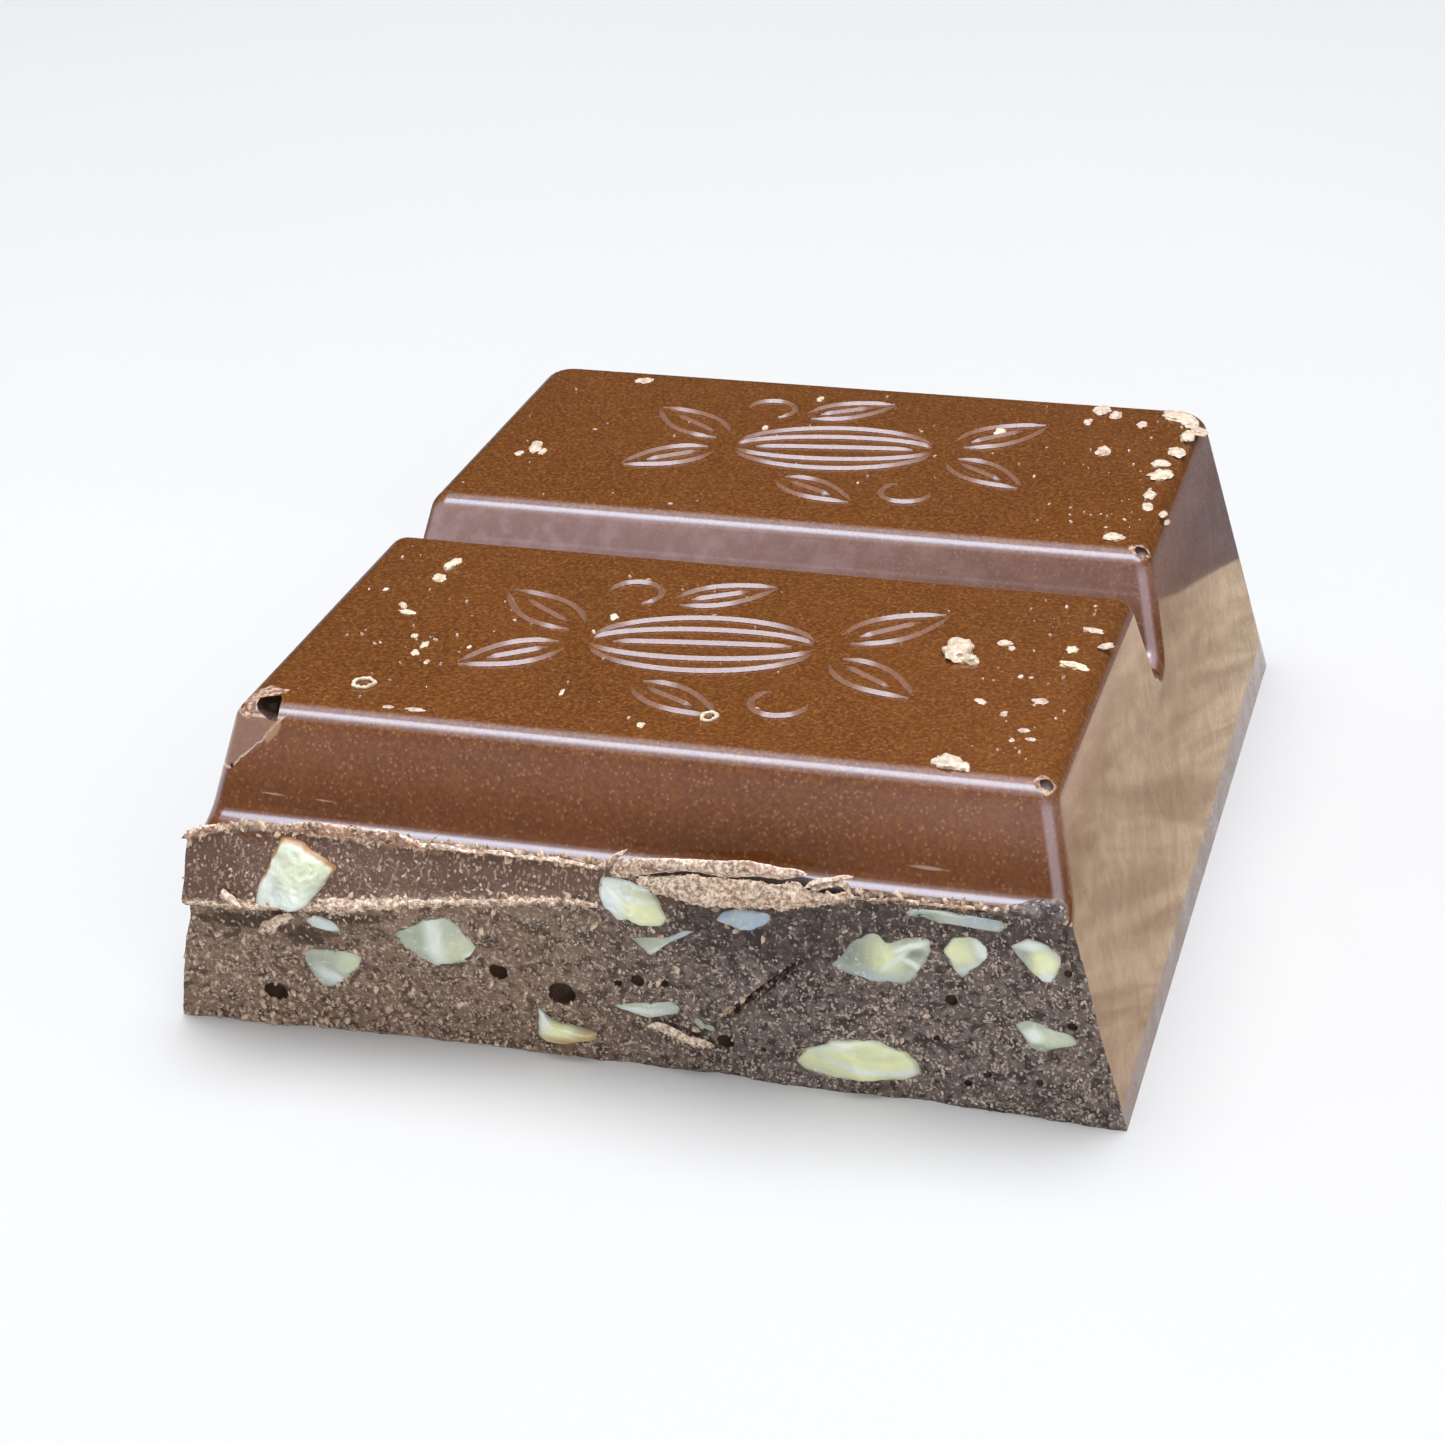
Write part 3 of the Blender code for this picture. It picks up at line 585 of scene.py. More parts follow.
def moulded_skin():
    """Tempered chocolate: brown, with flecks 0.1 to 0.2 mm across, under a shallow gloss."""
    look = Look("moulded_skin")
    across, along_bar, down = look.part("X"), look.part("Y") - LIP_Y / MM, HEIGHT / MM - look.part("Z")
    steep = down.fade(0.2, 0.9)
    right = across.fade(4, 17)
    mottle = look.noise(1.0, 3, 0.6).fade(0.40, 0.68)
    grain = look.noise(0.19, 3, 0.65).fade(0.41, 0.64)
    flecks = look.cells(0.20).fade(0.44, 0.16) * look.noise(0.40, 3, 0.6).fade(0.42, 0.56)
    look.base = look.blend(look.noise(6, 3).fade(0.3, 0.7), (0.120, 0.030, 0.0020), (0.145, 0.037, 0.0030))
    look.over(grain * (0.85 - steep * 0.35), (0.262, 0.094, 0.009))
    look.over(mottle * 0.2, (0.235, 0.085, 0.010))
    # Painted shade: the flat tops are laid darker than the drafted walls
    look.over(0.25 - steep * 0.25, (0.060, 0.012, 0.001))
    look.over(flecks * (steep * 0.14 + 0.26), (0.480, 0.250, 0.115))
    look.over(right * along_bar.fade(22, 14) * 0.08, (0.300, 0.120, 0.045))
    # Painted reflection: the walls grow darker toward their foot, where they mirror dark surroundings
    look.over(steep * down.fade(1.6, 3.4) * 0.4, (0.085, 0.022, 0.004))
    # Painted highlight: a pinkish glow on the walls just under the lip highlight, stronger to the right
    glow = steep * down.fade(3.2, 1.0) * (right * 0.6 + 0.7)
    look.over((glow * 0.16).clamped(), (0.36, 0.24, 0.24))
    # Painted sheen on the far groove wall, and painted highlights in narrow streaks down the rounded corners
    # of the walls
    inner = along_bar - (SEGMENT_DEPTH + GROOVE_WIDTH) / MM
    in_groove = inner.fade(-2.2, -2.0)
    wall = (inner + down * (KNEE_IN / KNEE_DOWN)).fade(0.30, 0.08) * in_groove
    wall = wall * down.fade(0.1, 0.7) * across.fade(24, -8)
    look.over((wall * (mottle * 0.3 + 0.6)).clamped(), (0.42, 0.29, 0.285))
    brink = across.max(0.0 - across) - (down * DRAFT + TOP_WIDTH / 2 / MM)
    end_wall = (in_groove * inner.fade(0.2, -0.1)).max(along_bar.fade(0.1, -0.1)) * down.fade(0.3, 1.0)
    streak = brink.fade(-0.68, -0.50) * brink.fade(-0.16, -0.34) * across.fade(0, 1) * 0.45
    low_left = across.fade(0, -1) * down.fade(1.7, 2.7) * 0.35
    streak = streak.max(brink.fade(-0.46, -0.26) * brink.fade(0, -0.12) * low_left)
    look.over(streak * end_wall, (0.50, 0.40, 0.43))
    # The painted reflection of a window at the left corner, with its pale frame
    border = across + down * 1.06 + look.noise(0.8, 3) * 0.6 + 13.3758
    window = 0.0 - border.max(down - 2.4).max(0.4 - down).max(along_bar - 0.9)
    look.over(window.fade(0, 0.10) * 0.6, (0.33, 0.205, 0.160))
    line = window.fade(-0.09, -0.04) - window.fade(0.01, 0.07)
    look.over(line.clamped() * (grain * 0.4 + 0.55), (0.72, 0.56, 0.46))
    # Wear: scratches, a graze, a pinhole, and crust round the bubbles that broke through
    scratch = look.patches(((-14.35, 0, 10.72), (0, 2, 0), (0.75, 3, 0.05), 0.9),
                           ((-12.1, 0, 10.67), (0, 2, 0), (0.60, 3, 0.04), 0.9),
                           ((11.7, 0, 10.63), (0, 1, 0), (0.9, 3, 0.09), 0.5)).fade(0.0, 0.5)
    look.over(scratch * 0.4, (0.62, 0.45, 0.38))
    graze = look.patch((-14.5, -0.3, 13.0), (0, 33, 0), (0.24, 0.8, 0.52), 1.2)
    look.over(graze.fade(0, 0.4) * 0.7, (0.48, 0.27, 0.17))
    # The pinhole is a near-black dot: painted shade where the hole would be dark
    dot = look.patch((-16.13, -0.80, 11.59), (0, 0, 0), (0.10, 0.30, 0.10), 0.2)
    look.over(dot.fade(0, 0.3), (0.020, 0.008, 0.004))
    crust = look.patches(((-15.30, 1.25, 13.8), (0, 0, 8), (0.85, 0.55, 0.5), 1.3),
                         ((-15.62, 0.45, 13.7), (0, 15, 0), (0.36, 0.95, 0.50), 1.0),
                         *(((x, y, HEIGHT / MM - radius * 0.4), (0, 0, 0), [radius * 1.75] * 3, 0.9)
                           for x, y, radius in LIP_BUBBLES)).fade(0.0, 0.2)
    rubble = look.noise(0.22, 3, 0.6).fade(0.38, 0.62)
    look.over(crust * 0.85, look.blend(rubble, (0.20, 0.095, 0.055), (0.70, 0.50, 0.38)))
    # Painted highlight: the raised design lines are laid paler than the skin round them
    raised = down.fade(-0.012, -0.045)
    look.over(raised * 0.30, (0.45, 0.29, 0.22))
    smudge = across.fade(16.3, 16.8) * look.noise(1.6, 4, 0.6, warp=1.2).fade(0.35, 0.65)
    look.set(Base_Color=look.base, Roughness=look.noise(1.6, 4, 0.6) * 0.2 + 0.36 + scratch * 0.2)
    look.set(IOR=1.5, Specular_IOR_Level=0.12, Coat_IOR=1.5, Coat_Roughness=0.075)
    look.set(Coat_Weight=(1.0 - flecks * 0.2) * (1.0 - smudge * 0.22) * (1.0 - raised * 0.4) * (1.0 - crust))
    look.set(Normal=look.bump(look.noise(0.8, 3) + grain * 0.15 + crust * rubble * 6.0, 0.005, 0.6))
    return look.material


def broken_mass():
    """The inside: sandy grey-brown with pale crystals, tan where the break has bruised an edge."""
    look = Look("broken_mass")
    rim = look.attribute("rim")
    left = look.part("X").fade(5, -6)
    clouds = look.noise(2.5, 3).fade(0.3, 0.7)
    sand = look.noise(0.28, 3, 0.62)
    pits = look.noise(0.45, 3, 0.6).fade(0.52, 0.38)
    specks = look.noise(0.19, 2, 0.6).fade(0.57, 0.68)
    streaks = look.noise(0.14, 2, 0.6, look.stretched((1.0, 1.0, 0.5))).fade(0.55, 0.66)
    look.base = look.blend(clouds, (0.100, 0.070, 0.060), (0.150, 0.112, 0.096))
    # The left of the break is warmer and lighter: partly its own warmer tone, partly painted light
    look.over(left, look.blend(clouds, (0.178, 0.108, 0.068), (0.238, 0.151, 0.096)))
    look.over(sand.fade(0.45, 0.62) * 0.6, look.blend(left, (0.28, 0.218, 0.185), (0.38, 0.262, 0.185)))
    # Painted shade: the pits of the sand are darkened
    look.over(pits * 0.85, look.blend(left, (0.030, 0.018, 0.014), (0.070, 0.038, 0.022)))
    look.over(specks * 0.85, (0.60, 0.48, 0.40))
    # Painted shadow under the curl and high on the right of the break
    painted_shadow = look.patches(((5.5, -1.8, 7.7), (0, 0, 0), (5, 9, 2.4), 0.6),
                         ((13.0, -1.6, 8.4), (0, -3, 0), (7, 9, 1.3), 0.6))
    look.over(painted_shadow.fade(-0.1, 0.5) * 0.55, (0.028, 0.016, 0.013))
    # Painted shade in the recess under the left half of the ridge
    hollow = look.patches(((-15.8, -2.0, 5.20), (0, 0, 0), (2.4, 9, 0.52), 1.1),
                          ((-13.1, -2.0, 4.95), (0, -15, 0), (1.2, 9, 0.65), 1.1),
                          ((-11.0, -2.5, 6.30), (0, -6, 0), (1.8, 9, 0.36), 0.9))
    look.over(hollow.fade(0, 0.45) * 0.92, look.blend(sand, (0.030, 0.014, 0.004), (0.085, 0.048, 0.020)))
    mass = look.base
    # The ledge above the ridge is smeared smooth and brown, with torn streaks
    look.base = look.blend(clouds, (0.124, 0.060, 0.037), (0.160, 0.085, 0.056))
    look.over(streaks * 0.6, (0.56, 0.39, 0.28))
    blush = look.patch((-9.8, -1.9, 9.65), (0, 3, 0), (3.2, 9.0, 0.38), 1.2)
    look.over(blush.fade(0, 0.6) * 0.7, (0.50, 0.27, 0.15))
    stain = look.patch((-14.8, -2.5, 9.25), (0, 0, 0), (0.75, 9.0, 0.38), 1.0)
    look.over(stain.fade(0, 0.6) * 0.85, (0.120, 0.035, 0.006))
    look.base = look.blend(look.attribute("ledge"), mass, look.base)
    edge = (rim * 1.6 + sand * 1.2 - 1.15).clamped()
    look.over(edge, look.blend(sand.fade(0.35, 0.65), (0.33, 0.20, 0.12), (0.80, 0.64, 0.50)))
    look.set(Base_Color=look.base, Roughness=0.62 - specks * 0.2 + rim * 0.2, IOR=1.45)
    look.set(Normal=look.bump(sand * 0.8 - pits * 0.5 + look.noise(0.14, 3, 0.6) * 0.3, 0.07))
    return look.material


def bubble_wall():
    """The smooth lining of a trapped air bubble, dark brown: partly its own colour, partly painted shade
    inside the hole.
    """
    look = Look("bubble_wall")
    shade_of = look.noise(0.35, 3)
    look.set(Base_Color=look.blend(shade_of, (0.025, 0.009, 0.005), (0.130, 0.070, 0.045)),
             Roughness=shade_of * 0.2 + 0.45)
    look.set(Normal=look.bump(look.noise(0.12), 0.01, 0.5))
    return look.material


SKIN, MASS, WALL = moulded_skin(), broken_mass(), bubble_wall()

# --- sockets: the nuts of the next section sit tight in the mass
# Name, centre across and up, how far it stands out, how deep it goes in, tint from blue-grey 0 to
# yellow 1, milkiness, the side where brown skin clings (degrees) or None, and the cut outline
NUTS = (
    ("nut_ledge_left", -13.1, 7.7, 0.55, 2.2, 0.35, 0.75, 95,
     ((-0.7, 1.6), (0, 1.6), (1.7, 0.7), (0.6, -0.8), (-0.5, -1.6), (-1.1, -1.5), (-1.7, -1.1),
      (-1.6, -0.4))),
    ("nut_under_ridge", -12.26, 5.81, 0.05, 1.4, 0.35, 0.7, None,
     ((-0.8, -0.1), (-0.3, 0.4), (0.3, 0.3), (0.6, 0.1), (0.8, -0.4), (-0.3, -0.3))),
    ("nut_fan", -12.11, 3.39, 0.1, 1.8, 0.15, 0.45, None,
     ((-1.3, 0.8), (-0.4, 1), (0.5, 1.1), (1.3, 0.9), (1.1, 0.4), (0.2, -0.6), (-0.5, -1.1), (-0.9, -0.9),
      (-1.3, 0.2))),
    ("nut_diamond", -7.7, 5.4, 0.15, 2.2, 0.2, 0.55, None,
     ((-1.7, 0.3), (-0.2, 1.1), (0.7, 1.3), (1.8, -0.5), (1.5, -0.9), (-0.2, -1.3), (-0.8, -0.9))),
    ("nut_ledge_middle", 0.45, 8.15, 0.35, 1.9, 0.3, 0.65, None,
     ((-1.3, 0.9), (-0.9, 1), (-0.2, 0.9), (0.8, 0.6), (1.4, -0.6), (1, -1), (0.3, -1), (-0.1, -0.7),
      (-0.7, -0.8), (-1.3, 0))),
    ("nut_bird", 1.52, 6.43, 0.05, 1.3, 0.1, 0.45, None,
     ((-1.4, 0.1), (0.3, 0.3), (0.9, 0.7), (1.4, 0.7), (0.2, 0), (-0.5, -0.7))),
    ("nut_blue", 4.74, 7.83, 0.05, 1.4, 0, 0.4, None,
     ((-1.1, -0.1), (-0.7, 0.3), (-0.1, 0.5), (1, 0.4), (1.1, 0.2), (0.8, -0.2), (0.3, -0.5), (-0.3, -0.5))),
    ("nut_lens_small", 0.58, 2.97, 0.05, 1.3, 0.2, 0.7, None,
     ((-1.4, 0), (0.9, 0.5), (1.4, 0.3), (1.3, 0), (0.1, -0.5), (-1, -0.2))),
    ("nut_two_lobes", 9.95, 6.68, 0.15, 2.3, 0.1, 0.3, None,
     ((-2, -0.7), (-1.1, 0.6), (-0.2, 1.2), (0.3, 0.7), (0.8, 1), (1.9, 1.2), (2, 0.7), (1.8, 0), (1, -1.2),
      (-0.5, -1.2))),
    ("nut_heart", 13.2, 7.05, 0.1, 1.6, 0.3, 0.5, None,
     ((-0.9, 0.2), (-0.6, 0.7), (-0.2, 1), (0.2, 1), (0.6, 0.9), (0.9, 0.5), (0.9, 0.2), (-0.2, -1))),
    ("nut_right_high", 15.86, 7.43, 0.1, 1.4, 0.15, 0.6, None,
     ((-1, 0.5), (-0.3, 1), (0.6, 0.7), (0.9, 0.4), (1, 0), (0.6, -0.9), (0.3, -1))),
    ("nut_right_low", 16.28, 3.95, 0.1, 1.3, 0.05, 0.4, None,
     ((-1.3, 0.3), (-1, 0.6), (-0.6, 0.7), (0.3, 0.4), (0.8, 0.4), (1.3, 0), (-0.2, -0.7), (-0.6, -0.6))),
    ("nut_half_kernel", 8.8, 1.7, 0.4, 2.6, 0.3, 0.55, None,
     ((-2.5, -0.5), (-2.1, 0.1), (-0.8, 0.9), (0.7, 1), (2, 0.5), (2.4, 0), (2.5, -0.5), (2, -0.8),
      (-0.2, -1.1), (-2, -0.9))),
    ("nut_block", -2.85, 1.5, 0.45, 2, 0.5, 0.5, None,
     ((-1.1, 0.9), (-0.6, 0.3), (1.3, -0.1), (1.1, -0.5), (-0.4, -0.9), (-1, -0.8), (-1.3, -0.6))),
    ("nut_sliver", 12.79, 8.85, 0.02, 1.2, 0.05, 0.6, None,
     ((-2, 0), (-1.6, 0.3), (1.9, 0.2), (2, -0.2), (1.6, -0.4), (-0.8, -0.3), (-1.3, -0.1), (-1.7, -0.2))),
    ("nut_chip", 2.81, 2.49, 0.05, 1, 0.1, 0.3, None,
     ((-0.5, 0.2), (-0.2, 0.4), (0.4, -0.1), (0.5, -0.4), (0.1, -0.3))))
OUTLINE_STEP = 0.10 * MM
CHIP_DEPTH = 0.07 * MM


def cut_outline(corners, seed):
    """The chipped outline of a cut kernel: straight runs, eased corners and small nicks."""
    points = []
    for i, a in enumerate(corners):
        b = corners[(i + 1) % len(corners)]
        run = math.dist(a, b) * MM
        steps = max(2, round(run / OUTLINE_STEP))
        for k in range(steps):
            points.append([mix(a[0], b[0], k / steps) * MM, mix(a[1], b[1], k / steps) * MM])
    ring = np.array(points)
    for _ in range(3):
        ring = ring * 0.5 + (np.roll(ring, 1, 0) + np.roll(ring, -1, 0)) * 0.25
    out = []
    for x, z in ring:
        scale = 1 + CHIP_DEPTH * lumpy(x, z, seed, 0.35) / max(math.hypot(x, z), 0.2 * MM)
        out.append((x * scale, z * scale))
    return out


def socket_cutter(nut, index, mats):
    """The room that a nut takes in the mass, a hair smaller than the nut so that no gap shows."""
    cx, cz, outline = nut[1], nut[2], cut_outline(nut[-1], index)
    middle = sum(face_y(cx * MM + x, cz * MM + z) for x, z in outline) / len(outline)
    bm = bmesh.new()
    loops = []
    for y, scale in ((middle - 1.5 * MM, 0.97), (middle + 0.3 * MM, 0.97), (middle + 0.8 * MM, 0.6)):
        loops.append([bm.verts.new((cx * MM + x * scale, y, cz * MM + z * scale))
                      for x, z in outline])
    bridge(bm, loops)
    return mesh_object("socket", bm, mats)


def shade(obj, angle):
    obj.data.shade_smooth()
    obj.data.set_sharp_from_angle(angle=math.radians(angle))


def set_attribute(mesh, name, values):
    mesh.attributes.new(name, "FLOAT", "POINT").data.foreach_set("value", values)


def place_on_frame(obj):
    """Moves a mesh drawn from the front lip to its place in the frame; its object stays put."""
    obj.data.transform(Matrix.Translation((0.0, LIP_Y, 0.0)))


bar = moulded_block([SKIN])
boolean(bar, [break_cutter([MASS])], "DIFFERENCE")
boolean(bar, [socket_cutter(nut, i, [MASS]) for i, nut in enumerate(NUTS)], "DIFFERENCE")
boolean(bar, bubbles([WALL]), "DIFFERENCE")
boolean(bar, designs([SKIN]), "UNION")


def bruise(x, y, z):
    """How bruised and tan the break is at a place: along the ridge, the rim and the foot."""
    left = clamp(0.55 - x / (24 * MM), 0.15, 1.0)
    ridge = math.exp(-((z - ridge_height(x) + 0.05 * MM) / (0.26 * MM)) ** 2) * left
    top_rim = clamp((z - RIM_Z + 0.30 * MM) / (0.35 * MM)) * (0.55 + 0.45 * left)
    foot = clamp(1 - z / (0.5 * MM)) * 0.6 * left
    below, strength = crack_side(x, z)
    crack = strength * math.exp(below / (0.12 * MM)) * 0.7 if below < 0 else 0.0
    return max(ridge, top_rim, foot, crack)


set_attribute(bar.data, "rim", [bruise(*v.co) for v in bar.data.vertices])
set_attribute(bar.data, "ledge", [on_ledge(v.co.x, v.co.z) for v in bar.data.vertices])
shade(bar, 24)
place_on_frame(bar)
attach(bar, "root")
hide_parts("chocolate_bar")

# ======================================================================================
# Grains of the break.  Sugar and milk crystals and shreds of cocoa mass that the snap tore
# loose: they sit all over the broken face and are thick, tan and flaky along its edges.
# ======================================================================================
# Smallest and largest half size, and pieces to a square metre where they lie thickest
GRAIN_SIZE, GRAIN_DENSITY = (0.03 * MM, 0.10 * MM), 26e6
FLAKE_SIZE, FLAKE_DENSITY = (0.06 * MM, 0.19 * MM), 34e6


def grain_look():
    look = Look("broken_grains")
    tan = look.attribute("tan")
    shade_of = look.noise(0.35, 3, 0.6).fade(0.3, 0.7)
    cream = look.blend(shade_of, (0.13, 0.094, 0.074), (0.62, 0.50, 0.42))
    bruised = look.blend(shade_of, (0.30, 0.185, 0.115), (0.84, 0.66, 0.50))
    look.set(Base_Color=look.blend(tan, cream, bruised), Roughness=0.75 - shade_of * 0.25)
    look.set(IOR=1.45, Specular_IOR_Level=0.4)
    return look.material


GRAINS = grain_look()


def shard(name, seed):
    """One jagged crystal of a few faces, a metre across, to be scattered small."""
    bm = bmesh.new()
    bmesh.ops.create_icosphere(bm, subdivisions=1, radius=1.0)
    for vert in bm.verts:
        vert.co *= 1 + 0.55 * noise.noise(vert.co * 1.3 + Vector((seed, seed, seed)))
    return mesh_object(name, bm)


class Tree:
    """A Geometry Nodes tree with named inputs."""

    def __init__(self, name):
        self.group = bpy.data.node_groups.new(name, "GeometryNodeTree")
        self.group.interface.new_socket("Surface", in_out="INPUT", socket_type="NodeSocketGeometry")
        self.group.interface.new_socket("Scattered", in_out="OUTPUT", socket_type="NodeSocketGeometry")
        self.ins = self.group.nodes.new("NodeGroupInput")
        self.outs = self.group.nodes.new("NodeGroupOutput")
        self.values = {}

    def input(self, name, kind, value):
        socket = self.group.interface.new_socket(name, in_out="INPUT", socket_type=kind)
        self.values[socket.identifier] = value
        return self.ins.outputs[name]

    def node(self, kind, settings=None, inputs=None):
        return next(s for s in new_node(self.group, kind, settings, inputs).outputs if s.enabled)

    def run(self, name, surface, result, mat):
        """Applies the tree to a surface and returns what it makes as an object of its own."""
        self.group.links.new(result, self.outs.inputs["Scattered"])
        mod = surface.modifiers.new(name, "NODES")
        mod.node_group = self.group
        for identifier, value in self.values.items():
            mod[identifier] = value
        mesh = evaluated(surface)
        surface.modifiers.remove(mod)
        mesh.materials.clear()
        mesh.materials.append(mat)
        return add_object(name, mesh)


def scatter(name, surface, piece, density, size, seed, mat, stretch=0.75):
    """Pieces thrown over a surface, denser where its weight is higher, turned every way."""
    tree = Tree(name)
    per_area = tree.input("Density", "NodeSocketFloat", density)
    small = tree.input("Smallest", "NodeSocketFloat", size[0])
    large = tree.input("Largest", "NodeSocketFloat", size[1])
    long = tree.input("Stretch", "NodeSocketFloat", stretch)
    start = tree.input("Seed", "NodeSocketInt", seed)
    what = tree.input("Piece", "NodeSocketObject", piece)
    weight = tree.node("GeometryNodeInputNamedAttribute", {"data_type": "FLOAT"}, {"Name": "weight"})
    thick = tree.node("ShaderNodeMath", {"operation": "MULTIPLY"}, {"Value": weight, "Value_001": per_area})
    points = tree.node("GeometryNodeDistributePointsOnFaces", {"distribute_method": "RANDOM"},
                       {"Mesh": tree.ins.outputs["Surface"], "Density": thick, "Seed": start})
    turn = tree.node("FunctionNodeRandomValue", {"data_type": "FLOAT_VECTOR"},
                     {"Min": (0.0, 0.0, 0.0), "Max": (6.28, 6.28, 6.28), "Seed": start})
    turned = tree.node("FunctionNodeEulerToRotation", None, {"Euler": turn})
    scale = tree.node("FunctionNodeRandomValue", {"data_type": "FLOAT"},
                      {"Min": small, "Max": large, "Seed": start})
    pull = tree.node("FunctionNodeRandomValue", {"data_type": "FLOAT_VECTOR"},
                     {"Min": (1.0, 1.0, 1.0), "Max": (1.6, 1.0, 1.0), "Seed": start})
    squeeze = tree.node("ShaderNodeCombineXYZ", None, {"X": 1.0, "Y": long, "Z": long})
    shaped = tree.node("ShaderNodeVectorMath", {"operation": "MULTIPLY"},
                       {"Vector": pull, "Vector_001": squeeze})
    sized = tree.node("ShaderNodeVectorMath", {"operation": "SCALE"}, {"Vector": shaped, "Scale": scale})
    info = new_node(tree.group, "GeometryNodeObjectInfo", None, {"Object": what})
    copies = tree.node("GeometryNodeInstanceOnPoints", None,
                       {"Points": points, "Instance": info.outputs["Geometry"], "Rotation": turned,
                        "Scale": sized})
    real = tree.node("GeometryNodeRealizeInstances", None, {"Geometry": copies})
    painted = tree.node("GeometryNodeSetMaterial", None, {"Geometry": real, "Material": mat})
    return tree.run(name, surface, painted, mat)


def face_patch(weight_of, tan_of):
    """A copy of the visible broken face with a weight for scattering and a tan share on it."""
    bm = bmesh.new()
    bm.from_mesh(bar.data)
    hidden = []
    for face in bm.faces:
        x, y, z = face.calc_center_median()
        y -= LIP_Y
        if (face.material_index != BREAK_INDEX or face.normal.y > -0.15 or z < 0.05 * MM
                or y > fine_face_y(x, z) + 0.12 * MM):
            hidden.append(face)
    bmesh.ops.delete(bm, geom=hidden, context="FACES")
    places = [(v.co.x, v.co.y - LIP_Y, v.co.z) for v in bm.verts]
    patch = mesh_object("face_patch", bm)
    set_attribute(patch.data, "weight", [weight_of(*place) for place in places])
    set_attribute(patch.data, "tan", [tan_of(*place) for place in places])
    return patch


def grain_weight(x, y, z):
    # Fewer pale grains in the shadow under the curl and in the recess under the ridge: painted shade
    shadow = bell(x, z, 5.5, 7.6, 4.5, 1.3)
    hollow = bell(x, z, -14.8, 5.2, 3.0, 0.6)
    patchy = 0.75 + 0.6 * lumpy(x, z, 3.0, 1.3)
    return max(0.1, patchy) * mix(1.0, 0.35, on_ledge(x, z)) * (1 - 0.75 * shadow) * (1 - 0.85 * hollow)


def flake_weight(x, y, z):
    spot = clamp(lumpy(x, z, 8.0, 0.8, 0.5) * 2.2 - 0.35)
    corner = clamp(1.3 - math.hypot((x + 14.5 * MM) / (4.5 * MM), (z - 1.0 * MM) / (2.5 * MM)))
    loose = 0.22 * spot * clamp(0.6 - x / (30 * MM)) + 0.15 * corner
    return clamp(bruise(x, y, z) * 1.3 - 0.25) + loose * (1 - 0.85 * on_ledge(x, z))


BREAK_INDEX = next(i for i, m in enumerate(bar.data.materials) if m == MASS)
crystal = shard("crystal", 1.0)
sand_patch = face_patch(grain_weight, lambda x, y, z: 0.35 * clamp(0.3 - x / (18 * MM)))
flake_patch = face_patch(flake_weight, lambda x, y, z: 1.0)
for name, patch, density, size, seed in (("grains", sand_patch, GRAIN_DENSITY, GRAIN_SIZE, 4),
                                         ("edge_flakes", flake_patch, FLAKE_DENSITY, FLAKE_SIZE, 9)):
    grains = scatter(name, patch, crystal, density, size, seed, GRAINS)
    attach(grains, "root")
discard((crystal, sand_patch, flake_patch))

# ======================================================================================
# The nuts.  Chopped kernels, cut through or laid bare by the break: pale, waxy and slightly
# translucent, with flat cleaved faces, fine fibres and here and there a trace of brown skin.
# ======================================================================================
CROWN_RINGS = 18


